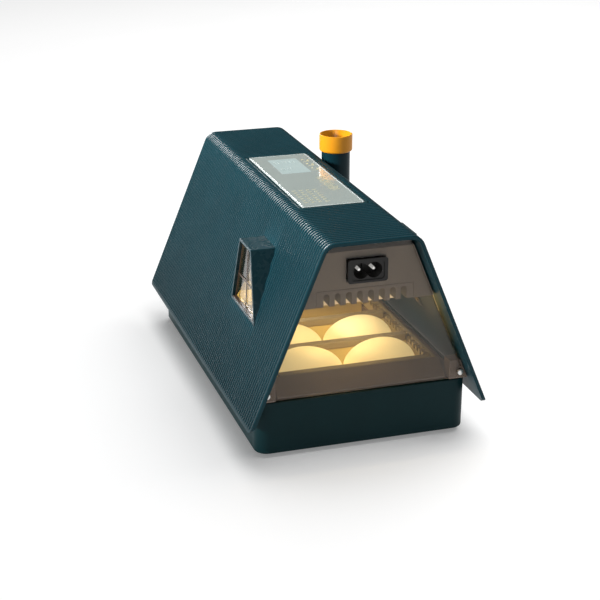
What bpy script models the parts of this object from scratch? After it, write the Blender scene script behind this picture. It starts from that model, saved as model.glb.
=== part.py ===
"""Cabin-shaped egg incubator: base tub, egg turner, lift-off roof and the pieces inside them.

Run with: blender --background --python part.py

Axes: +X to the right, +Y along the ridge to the back, +Z up. The origin is at the middle of the
footprint, on the surface that the feet stand on. Sizes below are in millimetres and are turned
into metres by MM, where meshes are made.
"""

import math

import bmesh
import bpy
from mathutils import Vector

MM = 0.001
GAP = 0.3                     # clearance between pieces that touch

# Roof shell
ROOF_LENGTH = 324.0
ROOF_TOP_Z = 162.0
ROOF_TOP_HALF = 34.6          # half width where the slopes would meet the flat top
EAVE_Z = 28.0
EAVE_HALF = 90.0
ROOF_THICK = 2.8
RIDGE_RADIUS = 11.0           # outer radius between the flat top and a slope
EAVE_CORNER = 6.0

# End panels, set back from the roof's two edges
WINDOW_Y = -149.0             # outer face of the front window
WINDOW_THICK = 2.4
WINDOW_GAP = 2.2              # between the window's edge and the roof
WINDOW_BOTTOM = 45.6
WINDOW_TOP = 156.6
REAR_Y = 147.2                # inner face of the rear cover
REAR_THICK = 2.4

# Base tub
BASE_HALF_TOP = 80.2
BASE_HALF_LOW = 79.9
BASE_END = 147.0
BASE_LOW = 3.0
BASE_TOP = 43.0
BASE_RADIUS = 10.0
BASE_WALL = 2.6
LEDGE_Z = 40.3                # the egg tray's flange lies on this step

# Egg tray, a flat flange with a well
TRAY_TOP = 42.6
TRAY_SHEET = 2.0
WELL_HALF = 58.0
WELL_FRONT = -129.5
WELL_BACK = 103.4
WELL_FLOOR = 19.7
APRON_HALF = 64.0
APRON_FRONT = -143.8          # the apron rises from here to the height of the turner's bars
APRON_BACK = -129.4
APRON_LOW = 45.2

# Rows of cells for eggs. The two front rows hold two eggs each, lying across the tray
EGG_RADIUS = 21.5
EGG_LENGTH = 56.0
EGG_X = 28.6
ROWS = 4
FILLED_ROWS = 2
ROW_PITCH = 48.3
FIRST_ROW_Y = -101.3
EGG_Z = WELL_FLOOR + GAP + EGG_RADIUS

# Egg turner: a ladder that slides along the tray and rolls the eggs
BAR_TOP = 55.0
BAR_WEB = 3.6
BAR_CAP = 7.0
BAR_CAP_Z = 50.4
RAIL_IN = 58.5
RAIL_OUT = 64.9
TURNER_TRAVEL = 30.0

# Drive: rack on the right rail, pinion, and gear on the motor's shaft
TOOTH_PITCH = 4.5
MODULE = TOOTH_PITCH / math.pi
PRESSURE = math.radians(25.0)
ADDENDUM = 0.8 * MODULE
DEDENDUM = 1.05 * MODULE
BACKLASH = 0.4
PINION_TEETH = 12
GEAR_TEETH = 12
GEAR_RISE = math.radians(12.0)
PINION_Y = 109.0
RACK_PITCH_Z = 51.2
PINION_Z = RACK_PITCH_Z + MODULE * PINION_TEETH / 2
GEAR_REACH = MODULE * (PINION_TEETH + GEAR_TEETH) / 2
GEAR_Y = PINION_Y + GEAR_REACH * math.cos(GEAR_RISE)
GEAR_Z = PINION_Z + GEAR_REACH * math.sin(GEAR_RISE)
GEAR_X0 = 59.0
GEAR_X1 = 64.4
MOTOR_RADIUS = 12.5
BRACKET_X = 52.3

# Housing under the ridge, and the gear housing at the back of the chamber
HOUSING_LOW = 110.4
HOUSING_HIGH = 150.0
HOUSING_WALL = 2.0
HOUSING_FRONT = -146.2
HOUSING_BACK = 146.9
GEARBOX_FRONT = 102.0
GEARBOX_LOW = 45.2
GEARBOX_HIGH = 108.0

# Air grille in the housing's front edge
GRILLE_HALF = 36.0
GRILLE_TOP = 122.0
GRILLE_DEPTH = 14.0
SLOTS = 8
SLOT_PITCH = 8.2
SLOT_WIDTH = 4.2
SLOT_TOP = 119.8

# Mains inlet, two pins in a figure-8 recess
INLET_Z = 136.0
INLET_WIDE = 29.3
INLET_HIGH = 17.4
RECESS_RADIUS = 5.75
RECESS_PITCH = 9.6
PIN_PITCH = 10.8

# Control panel in the flat top
PANEL_HALF = 24.0
PANEL_FRONT = -76.0
PANEL_BACK = 68.0
FRAME_EDGE = 2.7
LCD_HALF = 12.0
LCD_FRONT = 13.0
LCD_BACK = 55.5

# Dormers, one on each slope
DORMER_LOW_Z = 82.0
DORMER_HIGH_Z = 134.5
DORMER_LOW_Y = (-97.0, -33.0)
DORMER_HIGH_Y = (-80.0, -50.0)
DORMER_LOW_X = 67.5
DORMER_HIGH_X = 64.7
DORMER_WALL = 2.0
MUNTIN = 2.0

# Chimney on the right slope: water goes in here without lifting the roof
CHIMNEY_X = 46.7
CHIMNEY_Y = 56.0
PIPE_RADIUS = 11.65
PIPE_BORE = 9.65
PIPE_TOP = 171.7
CAP_RADIUS = 13.55
CAP_LOW = 166.0
CAP_TOP = 180.0
SPIGOT_X = 52.0
SPIGOT_RADIUS = 4.5
SPIGOT_BORE = 2.8
SPIGOT_LOW = 96.0
HOSE_RADIUS = 4.0

# Fan and heater in the housing's floor
FAN_Y = 40.0
FAN_HALF = 25.0
FAN_BORE = 23.0
FAN_DEEP = 10.0
ROTOR_RADIUS = 21.8
HUB_RADIUS = 9.0
BLADES = 7
HEATER_RADIUS = 31.0
HEATER_TUBE = 2.2
HEATER_Z = 105.6


# ---------------------------------------------------------------- geometry of the section

def slope_x(z):
    """Half width of the roof's outer slope at height z."""
    run = (EAVE_HALF - ROOF_TOP_HALF) / (ROOF_TOP_Z - EAVE_Z)
    return ROOF_TOP_HALF + (ROOF_TOP_Z - z) * run


SLOPE_ANGLE = math.atan2(EAVE_HALF - ROOF_TOP_HALF, ROOF_TOP_Z - EAVE_Z)
SIDE_THICK = ROOF_THICK / math.cos(SLOPE_ANGLE)   # the shell's thickness measured along X


def inner_x(z):
    """Half width inside the roof shell at height z."""
    return slope_x(z) - SIDE_THICK


def fillet(before, corner, after, radius, steps=5):
    """Points of the arc that rounds a corner between two straight lines."""
    a = (Vector(before) - Vector(corner)).normalized()
    b = (Vector(after) - Vector(corner)).normalized()
    half = a.angle(b) / 2
    centre = Vector(corner) + (a + b).normalized() * (radius / math.sin(half))
    start = (Vector(corner) + a * (radius / math.tan(half)) - centre).normalized()
    end = (Vector(corner) + b * (radius / math.tan(half)) - centre).normalized()
    return [tuple(centre + start.slerp(end, i / steps) * radius) for i in range(steps + 1)]


def rounded(outline, radii, steps=4):
    """A closed outline with each corner rounded by its own radius, where it has one."""
    points = []
    count = len(outline)
    for i, corner in enumerate(outline):
        if radii[i] <= 0:
            points.append(corner)
        else:
            points += fillet(outline[i - 1], corner, outline[(i + 1) % count], radii[i], steps)
    return points


def rectangle(x0, x1, y0, y1):
    return [(x0, y0), (x1, y0), (x1, y1), (x0, y1)]


def inset(outline, distance):
    """A convex outline, moved inwards by the given distance. A negative one moves it outwards."""
    count = len(outline)
    centre = sum((Vector(p) for p in outline), Vector((0, 0))) / count
    lines = []
    for i in range(count):
        a = Vector(outline[i])
        along = (Vector(outline[(i + 1) % count]) - a).normalized()
        normal = Vector((-along.y, along.x))
        if normal.dot(centre - a) < 0:
            normal.negate()
        lines.append((a + normal * distance, along))
    points = []
    for i in range(count):
        (p, u), (q, v) = lines[i - 1], lines[i]
        t = (q - p).cross(v) / u.cross(v)
        points.append(tuple(p + u * t))
    return points


def end_outline(low, high, gap, radius):
    """Outline in X and Z of a panel that follows the inside of the roof."""
    corners = [(-inner_x(low) + gap, low), (inner_x(low) - gap, low),
               (inner_x(high) - gap, high), (-inner_x(high) + gap, high)]
    return rounded(corners, (0, 0, radius, radius))


# ---------------------------------------------------------------- making objects

def clear_scene():
    for thing in list(bpy.data.objects):
        bpy.data.objects.remove(thing, do_unlink=True)


def material(name, colour, roughness, metallic=0.0, alpha=1.0, glow=0.0):
    found = bpy.data.materials.get(name)
    if found:
        return found
    made = bpy.data.materials.new(name)
    made.use_nodes = True
    shader = made.node_tree.nodes["Principled BSDF"]
    shader.inputs["Base Color"].default_value = (*colour, 1.0)
    shader.inputs["Roughness"].default_value = roughness
    shader.inputs["Metallic"].default_value = metallic
    shader.inputs["Alpha"].default_value = alpha
    if glow:
        shader.inputs["Emission Color"].default_value = (*colour, 1.0)
        shader.inputs["Emission Strength"].default_value = glow
    made.diffuse_color = (*colour, alpha)
    return made


def roof_plastic():
    return material("roof_plastic", (0.028, 0.085, 0.100), 0.45)


def base_plastic():
    return material("base_plastic", (0.015, 0.048, 0.058), 0.50)


def dark_plastic():
    return material("dark_plastic", (0.012, 0.013, 0.014), 0.40)


def inner_plastic():
    return material("inner_plastic", (0.42, 0.33, 0.25), 0.50)


def clear_plastic():
    return material("clear_plastic", (0.75, 0.72, 0.68), 0.08, alpha=0.3)


def display_glass():
    return material("display_glass", (0.30, 0.35, 0.34), 0.06)


def cap_plastic():
    return material("cap_plastic", (0.85, 0.42, 0.02), 0.40)


def circuit_board():
    return material("circuit_board", (0.02, 0.16, 0.06), 0.45)


def plated_steel():
    return material("plated_steel", (0.70, 0.70, 0.68), 0.25, metallic=1.0)


def white_plastic():
    return material("white_plastic", (0.80, 0.79, 0.75), 0.40)


def rubber():
    return material("rubber", (0.02, 0.02, 0.02), 0.85)


def egg_shell():
    return material("egg_shell", (0.90, 0.78, 0.58), 0.50, glow=0.2)


def finish(name, bm, surface, origin=(0, 0, 0), smooth=False):
    """Turn a bmesh in millimetres into a named object whose origin is where it should turn."""
    shift = Vector(origin)
    bmesh.ops.remove_doubles(bm, verts=bm.verts, dist=0.001)
    for vert in bm.verts:
        vert.co = (vert.co - shift) * MM
    bmesh.ops.recalc_face_normals(bm, faces=bm.faces)
    mesh = bpy.data.meshes.new(name)
    bm.to_mesh(mesh)
    bm.free()
    if smooth:
        mesh.shade_smooth()
        mesh.set_sharp_from_angle(angle=math.radians(35))
    made = bpy.data.objects.new(name, mesh)
    made.location = shift * MM
    made.data.materials.append(surface)
    bpy.context.scene.collection.objects.link(made)
    return made


def loft_mesh(bm, rings):
    """Join rings of equal length into one closed body, with a flat face on each end."""
    made = [[bm.verts.new(point) for point in ring] for ring in rings]
    count = len(made[0])
    bm.faces.new(made[0])
    bm.faces.new(list(reversed(made[-1])))
    for low, high in zip(made, made[1:]):
        for i in range(count):
            j = (i + 1) % count
            bm.faces.new((low[i], high[i], high[j], low[j]))


def loft(name, rings, surface, origin=(0, 0, 0), smooth=False):
    bm = bmesh.new()
    loft_mesh(bm, rings)
    return finish(name, bm, surface, origin, smooth)


def prism(name, outline, axis, low, high, surface, origin=(0, 0, 0), smooth=False):
    """Extrude an outline along an axis: (y, z) along X, (x, z) along Y, or (x, y) along Z."""
    place = {"X": lambda p, d: (d, p[0], p[1]),
             "Y": lambda p, d: (p[0], d, p[1]),
             "Z": lambda p, d: (p[0], p[1], d)}[axis]
    rings = [[place(p, low) for p in outline], [place(p, high) for p in outline]]
    return loft(name, rings, surface, origin, smooth)


def block(name, x, y, z, surface, radius=0.0):
    """A box given by its (low, high) pairs, with its upright edges rounded if asked."""
    outline = rectangle(*x, *y)
    if radius:
        outline = rounded(outline, [radius] * 4, steps=3)
    return prism(name, outline, "Z", *z, surface)


def circle(radius, count, centre=(0, 0), start=0.0):
    return [(centre[0] + radius * math.cos(start + 2 * math.pi * i / count),
             centre[1] + radius * math.sin(start + 2 * math.pi * i / count)) for i in range(count)]


def turned(name, profile, count, centre, axis, surface):
    """Turn a closed (radius, height) profile round an axis through centre, as a closed ring or solid."""
    basis = {"X": (Vector((0, 1, 0)), Vector((0, 0, 1)), Vector((1, 0, 0))),
             "Z": (Vector((1, 0, 0)), Vector((0, 1, 0)), Vector((0, 0, 1)))}[axis]
    middle = Vector(centre)
    bm = bmesh.new()
    rings = []
    for radius, height in profile:
        if radius == 0:
            rings.append([bm.verts.new(middle + basis[2] * height)])
            continue
        ring = []
        for i in range(count):
            angle = 2 * math.pi * i / count
            side = basis[0] * math.cos(angle) + basis[1] * math.sin(angle)
            ring.append(bm.verts.new(middle + side * radius + basis[2] * height))
        rings.append(ring)
    closed = profile[0][0] > 0
    pairs = list(zip(rings, rings[1:] + rings[:1])) if closed else list(zip(rings, rings[1:]))
    for low, high in pairs:
        for i in range(count):
            j = (i + 1) % count
            corners = [low[i % len(low)], low[j % len(low)], high[j % len(high)], high[i % len(high)]]
            bm.faces.new(list(dict.fromkeys(corners)))
    return finish(name, bm, surface, centre, smooth=True)


def tube(name, points, radius, surface, sides=4):
    """A round solid along a smooth curve through the given points."""
    curve = bpy.data.curves.new(name, "CURVE")
    curve.dimensions = "3D"
    curve.bevel_depth = radius * MM
    curve.bevel_resolution = sides
    curve.use_fill_caps = True
    line = curve.splines.new("POLY")
    line.points.add(len(points) - 1)
    for spot, point in zip(line.points, points):
        spot.co = (*(Vector(point) * MM), 1.0)
    made = bpy.data.objects.new(name, curve)
    made.data.materials.append(surface)
    bpy.context.scene.collection.objects.link(made)
    return made


def combine(target, tools, operation):
    """Join or cut a piece with others, which stay in the file as hidden wire tools."""
    for tool in tools:
        change = target.modifiers.new(tool.name, "BOOLEAN")
        change.object = tool
        change.operation = operation
        change.solver = "EXACT"
        tool.hide_render = True
        tool.display_type = "WIRE"
        tool.parent = target
        tool.matrix_parent_inverse = target.matrix_basis.inverted()
    return target


def cut(target, *tools):
    return combine(target, tools, "DIFFERENCE")


def join(target, *tools):
    return combine(target, tools, "UNION")


def tool_block(name, x, y, z):
    return block("tool_" + name, x, y, z, dark_plastic())


def tool_round(name, radius, centre, low, high, axis="Z", count=24):
    outline = circle(radius, count, centre)
    return prism("tool_" + name, outline, axis, low, high, dark_plastic())


# ---------------------------------------------------------------- roof

def roof_profile(offset):
    """Points in X and Z along the roof, from the left eave over the top to the right eave."""
    side = offset / math.cos(SLOPE_ANGLE)
    top = ROOF_TOP_Z - offset
    corner = (slope_x(top) - side, top)
    eave = (EAVE_HALF - side, EAVE_Z)
    radius = RIDGE_RADIUS - offset
    right = fillet((0, top), corner, eave, radius, steps=6) + [eave]
    left = [(-x, z) for x, z in reversed(right)]
    return left + right


def dormer_outline(grow=0.0):
    """The dormer window's outline in Y and Z."""
    corners = [(DORMER_LOW_Y[0], DORMER_LOW_Z), (DORMER_LOW_Y[1], DORMER_LOW_Z),
               (DORMER_HIGH_Y[1], DORMER_HIGH_Z), (DORMER_HIGH_Y[0], DORMER_HIGH_Z)]
    return inset(corners, -grow)


def make_roof():
    outline = roof_profile(0) + list(reversed(roof_profile(ROOF_THICK)))
    bm = bmesh.new()
    ends = (-ROOF_LENGTH / 2, ROOF_LENGTH / 2)
    loft_mesh(bm, [[(x, y, z) for x, z in outline] for y in ends])
    corners = [edge for edge in bm.edges
               if all(abs(v.co.z - EAVE_Z) < 0.01 for v in edge.verts)
               and abs(edge.verts[0].co.y - edge.verts[1].co.y) < 0.01]
    bmesh.ops.bevel(bm, geom=corners, offset=EAVE_CORNER, segments=3, profile=0.5, affect="EDGES")
    roof = finish("roof_shell", bm, roof_plastic(), smooth=True)
    tools = [tool_block("panel_hole", (-PANEL_HALF - FRAME_EDGE - GAP, PANEL_HALF + FRAME_EDGE + GAP),
                        (PANEL_FRONT - FRAME_EDGE - GAP, PANEL_BACK + FRAME_EDGE + GAP), (150, 170)),
             tool_round("spigot_hole", SPIGOT_RADIUS + GAP, (SPIGOT_X, CHIMNEY_Y), 90, 130, count=16)]
    for side, reach in (("left", (-85, -36)), ("right", (36, 85))):
        tools.append(prism("tool_dormer_hole_" + side, dormer_outline(GAP), "X", *reach, dark_plastic()))
    return cut(roof, *tools)


def dormer_face_x(z):
    """Distance from the middle plane to the dormer's window plane, which leans inwards."""
    lean = (DORMER_LOW_X - DORMER_HIGH_X) / (DORMER_HIGH_Z - DORMER_LOW_Z)
    return DORMER_LOW_X - (z - DORMER_LOW_Z) * lean


def dormer_slab(name, outline, depth, side, surface, reach_roof=False):
    """A slab parallel to the window plane; reach_roof carries its back to the roof's inside."""
    front = [(side * (dormer_face_x(z) - depth[0]), y, z) for y, z in outline]
    if reach_roof:
        back = [(side * (inner_x(z) - depth[1]), y, z) for y, z in outline]
    else:
        back = [(side * (dormer_face_x(z) - depth[1]), y, z) for y, z in outline]
    return loft(name, [front, back], surface)


def make_dormer(word, side):
    outline = dormer_outline()
    hood = dormer_slab("dormer_hood_" + word, outline, (0, 0), side, roof_plastic(), True)
    hollow = dormer_slab("tool_hood_" + word, dormer_outline(-DORMER_WALL), (-5, 5), side,
                         dark_plastic(), True)
    cut(hood, hollow)
    frame_line = dormer_outline(-DORMER_WALL - GAP)
    frame = dormer_slab("dormer_frame_" + word, frame_line, (0.8, 3.0), side, dark_plastic())
    middle_y = sum(DORMER_LOW_Y) / 2
    middle_z = (DORMER_LOW_Z + DORMER_HIGH_Z) / 2 - 2.0
    jamb = inset(frame_line, 2.2)
    lights = []
    for row, (low, high) in enumerate(((0, middle_z - MUNTIN / 2), (middle_z + MUNTIN / 2, 200))):
        for column in (-1, 1):
            light = light_outline(jamb, low, high, middle_y, column)
            lights.append(dormer_slab(f"tool_light_{word}_{row}_{column + 1}", light, (-3, 6), side,
                                      dark_plastic()))
    cut(frame, *lights)
    pane = dormer_slab("dormer_pane_" + word, frame_line, (3.3, 4.8), side, clear_plastic())
    return hood, frame, pane


def light_outline(jamb, low, high, middle_y, column):
    """One of the window's four lights: the opening inside the jambs, less the cross."""
    (low_a, low_z), (low_b, _), (high_b, high_z), (high_a, _) = jamb
    edge_low, edge_high = (low_a, high_a) if column < 0 else (low_b, high_b)
    bottom = max(low, low_z)
    top = min(high, high_z)

    def edge(z):
        return edge_low + (edge_high - edge_low) * (z - low_z) / (high_z - low_z)

    centre = middle_y + column * MUNTIN / 2
    return [(centre, bottom), (edge(bottom), bottom), (edge(top), top), (centre, top)]


def make_chimney():
    """Pipe that stands on the right slope, with a spigot through the roof and a pull-off cap."""
    ring = circle(PIPE_RADIUS, 28, (CHIMNEY_X, CHIMNEY_Y))
    bore = circle(PIPE_BORE, 28, (CHIMNEY_X, CHIMNEY_Y))
    seat = seat_height
    pipe = loft("chimney_pipe", [[(x, y, seat(x, GAP)) for x, y in ring],
                                 [(x, y, PIPE_TOP) for x, y in ring]], roof_plastic(), smooth=True)
    spigot = tool_round("spigot", SPIGOT_RADIUS, (SPIGOT_X, CHIMNEY_Y), SPIGOT_LOW, 124, count=16)
    hollow = loft("tool_pipe_bore", [[(x, y, seat(x, 3.0)) for x, y in bore],
                                     [(x, y, PIPE_TOP + 5) for x, y in bore]], dark_plastic())
    drain = tool_round("drain", SPIGOT_BORE, (SPIGOT_X, CHIMNEY_Y), SPIGOT_LOW - 5, 140, count=12)
    join(pipe, spigot)
    cut(pipe, hollow, drain)
    step = CAP_LOW + 6.0
    wide = PIPE_RADIUS + 0.35
    narrow = PIPE_RADIUS - 0.9
    profile = [(wide, CAP_LOW), (CAP_RADIUS, CAP_LOW), (CAP_RADIUS, CAP_TOP - 0.6),
               (CAP_RADIUS - 0.6, CAP_TOP), (narrow + 0.4, CAP_TOP), (narrow, CAP_TOP - 0.4),
               (narrow, step), (wide, step)]
    profile = [(radius, height - CAP_LOW) for radius, height in profile]
    turned("chimney_cap", profile, 28, (CHIMNEY_X, CHIMNEY_Y, CAP_LOW), "Z", cap_plastic())
    return pipe


def seat_height(x, gap):
    """Height of the roof's outside at x, on the rounded edge and the slope, plus a gap above it."""
    run = (EAVE_HALF - ROOF_TOP_HALF) / (ROOF_TOP_Z - EAVE_Z)
    on_slope = ROOF_TOP_Z - (x - ROOF_TOP_HALF) / run
    return min(on_slope + gap / math.sin(SLOPE_ANGLE), ROOF_TOP_Z + gap)


def make_hose():
    """Silicone hose from the chimney's spigot down to the tray's filling hole."""
    stops = [(52.0, 95.6), (52.2, 90.0), (54.4, 83.0), (58.8, 74.5), (63.4, 66.5),
             (67.4, 59.6), (70.2, 53.4), (71.2, 46.5)]
    points = []
    for i in range(len(stops) - 1):
        a = Vector(stops[max(i - 1, 0)])
        b = Vector(stops[i])
        c = Vector(stops[i + 1])
        d = Vector(stops[min(i + 2, len(stops) - 1)])
        for step in range(2):
            t = step / 2
            spot = 0.5 * (2 * b + (c - a) * t + (2 * a - 5 * b + 4 * c - d) * t * t
                          + (3 * b - a - 3 * c + d) * t ** 3)
            points.append((spot.x, CHIMNEY_Y, spot.y))
    points.append((stops[-1][0], CHIMNEY_Y, stops[-1][1]))
    return tube("filler_hose", points, HOSE_RADIUS, white_plastic(), sides=3)


# ---------------------------------------------------------------- control panel

def make_panel():
    wide = PANEL_HALF + FRAME_EDGE
    frame = block("panel_frame", (-wide, wide), (PANEL_FRONT - FRAME_EDGE, PANEL_BACK + FRAME_EDGE),
                  (155.0, ROOF_TOP_Z - 0.2), dark_plastic())
    recess = tool_block("glass_recess", (-PANEL_HALF - GAP, PANEL_HALF + GAP),
                        (PANEL_FRONT - GAP, PANEL_BACK + GAP), (159.4, 165))
    opening = tool_block("lcd_opening", (-LCD_HALF - 1, LCD_HALF + 1),
                         (LCD_FRONT - 1, LCD_BACK + 1), (150, 165))
    cut(frame, recess, opening)
    block("glass_panel", (-PANEL_HALF, PANEL_HALF), (PANEL_FRONT, PANEL_BACK),
          (159.7, ROOF_TOP_Z), display_glass(), radius=1.2)
    block("lcd_display", (-LCD_HALF, LCD_HALF), (LCD_FRONT, LCD_BACK), (152.6, 159.3),
          display_glass())
    board = block("control_board", (-PANEL_HALF, PANEL_HALF), (PANEL_FRONT + 2, PANEL_BACK - 2),
                  (150.6, 152.2), circuit_board())
    return join(board, tool_block("chip", (-7, 7), (-40, -26), (148.0, 151.0)),
                tool_block("relay", (-8, 8), (-8, 8), (146.0, 151.0)))


# ---------------------------------------------------------------- end panels

def make_front():
    """Clear front window with its two pegs, the pegs' bosses and the mains inlet."""
    outline = end_outline(WINDOW_BOTTOM, WINDOW_TOP, WINDOW_GAP, 7.0)
    window = prism("front_window", outline, "Y", WINDOW_Y, WINDOW_Y + WINDOW_THICK, clear_plastic())
    half = INLET_WIDE / 2 - 1.2
    tall = INLET_HIGH / 2 - 1.2
    tools = [tool_block("inlet_hole", (-half, half), (-160, -140), (INLET_Z - tall, INLET_Z + tall))]
    for word, side in (("left", -1), ("right", 1)):
        spot = (side * 73.2, 49.6)
        tools.append(tool_round("peg_hole_" + word, 1.5, spot, -160, -140, "Y", 12))
        head = [(0, -3.9), (2.0, -3.9), (2.3, -3.5), (2.3, -2.7), (1.1, -2.7), (1.1, 6.0), (0, 6.0)]
        peg = peg_rings(head, spot, WINDOW_Y + 2.4)
        loft("window_peg_" + word, peg, plated_steel(), smooth=True)
        make_boss(word, side, spot)
    cut(window, *tools)
    make_inlet(half - GAP, tall - GAP)


def peg_rings(profile, spot, start):
    """Rings of a headed peg that points along +Y; the ends are flat."""
    rings = []
    for radius, along in profile[1:-1]:
        rings.append([(x, start + along, z) for x, z in circle(radius, 12, spot)])
    return rings


def make_boss(word, side, spot):
    """Corner block that ties the window to the roof and stands on the base's rim."""
    low, high = BASE_TOP + GAP, 58.0
    outline = [(side * 66.0, low), (side * (inner_x(low) - GAP), low),
               (side * (inner_x(high) - GAP), high), (side * 66.0, high)]
    boss = prism("corner_boss_" + word, outline, "Y", WINDOW_Y + WINDOW_THICK + GAP, -136.0,
                 inner_plastic())
    return cut(boss, tool_round("boss_hole_" + word, 1.4, spot, -160, -139.5, "Y", 12))


def make_inlet(half, tall):
    """Figure-8 inlet: a bezel on the window, a body behind it and two pins in the recess."""
    face = WINDOW_Y - GAP
    bezel = rounded(rectangle(-INLET_WIDE / 2, INLET_WIDE / 2, INLET_Z - INLET_HIGH / 2,
                              INLET_Z + INLET_HIGH / 2), [2.0] * 4, steps=3)
    inlet = prism("power_inlet", bezel, "Y", face - 1.8, face, dark_plastic())
    body = tool_block("inlet_body", (-half, half), (face - 1.0, -128.0),
                      (INLET_Z - tall, INLET_Z + tall))
    join(inlet, body)
    lobes = [tool_round("lobe_" + word, RECESS_RADIUS, (side * RECESS_PITCH / 2, INLET_Z),
                        -160, -138.0, "Y", 20) for word, side in (("left", -1), ("right", 1))]
    holes = [tool_round("pin_hole_" + word, 1.5, (side * PIN_PITCH / 2, INLET_Z), -140, -120, "Y", 12)
             for word, side in (("left", -1), ("right", 1))]
    cut(inlet, *lobes, *holes)
    for word, side in (("left", -1), ("right", 1)):
        spot = (side * PIN_PITCH / 2, INLET_Z)
        profile = [(0, 0), (0.6, 0), (1.15, 0.9), (1.15, 22.0), (0, 22.0)]
        loft("inlet_pin_" + word, peg_rings(profile, spot, -147.5), plated_steel(), smooth=True)


def make_rear():
    """Rear cover with air slots, held by four screws."""
    outline = end_outline(WINDOW_BOTTOM, WINDOW_TOP, WINDOW_GAP, 7.0)
    cover = prism("rear_cover", outline, "Y", REAR_Y, REAR_Y + REAR_THICK, base_plastic())
    tools = [tool_block(f"air_slot_{i}", (-24, 24), (140, 155), (118 + 5 * i, 120.4 + 5 * i))
             for i in range(5)]
    spots = [(-68, 52), (68, 52), (-34, 146), (34, 146)]
    for i, (x, z) in enumerate(spots):
        x = math.copysign(min(abs(x), inner_x(z) - 7.0), x)
        tools.append(tool_round(f"rear_hole_{i}", 1.6, (x, z), 140, 155, "Y", 12))
        profile = [(0, 0), (2.6, 0), (2.9, 0.5), (2.9, 1.4), (1.2, 1.4), (1.2, 4.2), (0, 4.2)]
        rings = [[(a, REAR_Y + REAR_THICK + 1.8 - along, b) for a, b in circle(radius, 12, (x, z))]
                 for radius, along in profile[1:-1]]
        loft(f"rear_screw_{i + 1}", rings, plated_steel(), smooth=True)
    return cut(cover, *tools)


# ---------------------------------------------------------------- housing under the ridge

def make_housing():
    """Trapezoid trough that carries the electrics over the egg chamber."""
    outline = [(-inner_x(HOUSING_LOW) + 1, HOUSING_LOW), (inner_x(HOUSING_LOW) - 1, HOUSING_LOW),
               (inner_x(HOUSING_HIGH) - 1, HOUSING_HIGH), (-inner_x(HOUSING_HIGH) + 1, HOUSING_HIGH)]
    housing = prism("upper_housing", outline, "Y", HOUSING_FRONT, HOUSING_BACK, inner_plastic())
    (x0, z0), (x1, _), (x2, z2), (x3, _) = outline
    wall = HOUSING_WALL
    hollow = [(x0 + wall, z0 + wall), (x1 - wall, z0 + wall), (x2 - wall, z2 + 5), (x3 + wall, z2 + 5)]
    notch = (-GRILLE_HALF - GAP, GRILLE_HALF + GAP)
    half = INLET_WIDE / 2
    tools = [prism("tool_trough", hollow, "Y", HOUSING_FRONT + wall, HOUSING_BACK - wall, dark_plastic()),
             tool_round("fan_opening", FAN_BORE, (0, FAN_Y), 100, 116),
             tool_block("grille_notch", notch, (-150, HOUSING_FRONT + GRILLE_DEPTH + GAP),
                        (100, GRILLE_TOP + GAP)),
             tool_block("inlet_notch", (-half, half), (-150, -140), (INLET_Z - 9, INLET_Z + 9)),
             tool_block("rear_air", (-26, 26), (140, 150), (116, 144)),
             tool_block("spigot_notch", (45.5, 60), (CHIMNEY_Y - 6, CHIMNEY_Y + 6), (100, 132))]
    for word, side in (("left", -1), ("right", 1)):
        post = side * min(34, inner_x(146) - 7.0)
        tools.append(tool_round("screw_room_" + word, 2.0, (post, 146), 140, 150, "Y", 12))
    return cut(housing, *tools)


def make_grille():
    """Comb of upright slots, open below, that the warm air leaves through."""
    front = HOUSING_FRONT
    grille = block("air_grille", (-GRILLE_HALF, GRILLE_HALF), (front, front + GRILLE_DEPTH),
                   (HOUSING_LOW, GRILLE_TOP), inner_plastic())
    tools = []
    for i in range(SLOTS):
        middle = (i - (SLOTS - 1) / 2) * SLOT_PITCH
        half = SLOT_WIDTH / 2
        outline = rounded([(middle - half, 100), (middle + half, 100), (middle + half, SLOT_TOP),
                           (middle - half, SLOT_TOP)], (0, 0, half * 0.98, half * 0.98), steps=3)
        tools.append(prism(f"tool_slot_{i}", outline, "Y", front - 5, front + GRILLE_DEPTH + 5,
                           dark_plastic()))
    return cut(grille, *tools)


def make_fan():
    low = HOUSING_LOW + HOUSING_WALL + GAP
    frame = block("fan_frame", (-FAN_HALF, FAN_HALF), (FAN_Y - FAN_HALF, FAN_Y + FAN_HALF),
                  (low, low + FAN_DEEP), dark_plastic(), radius=3.0)
    bore = tool_round("fan_bore", FAN_BORE, (0, FAN_Y), low + 1.8, low + 20)
    vents = fan_sectors(low)
    cut(frame, bore, *vents)
    outline = []
    step = 2 * math.pi / BLADES
    for i in range(BLADES):
        for turn, radius in ((-0.30, HUB_RADIUS), (0.0, HUB_RADIUS), (0.16, ROTOR_RADIUS),
                             (0.24, ROTOR_RADIUS), (0.12, HUB_RADIUS)):
            angle = i * step + turn
            outline.append((radius * math.cos(angle), FAN_Y + radius * math.sin(angle)))
    prism("fan_rotor", outline, "Z", low + 2.6, low + 9.2, dark_plastic(), origin=(0, FAN_Y, low + 5))


def fan_sectors(low):
    """Cutters for the four openings between the spokes that carry the fan's motor."""
    tools = []
    for i in range(4):
        start = i * math.pi / 2 + 0.10
        span = math.pi / 2 - 0.20
        outer = [(21.5 * math.cos(start + span * k / 6), FAN_Y + 21.5 * math.sin(start + span * k / 6))
                 for k in range(7)]
        inner = [(10.5 * math.cos(start + span * k / 3), FAN_Y + 10.5 * math.sin(start + span * k / 3))
                 for k in range(3, -1, -1)]
        tools.append(prism(f"tool_vent_{i}", outer + inner, "Z", low - 5, low + 5, dark_plastic()))
    return tools


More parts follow.
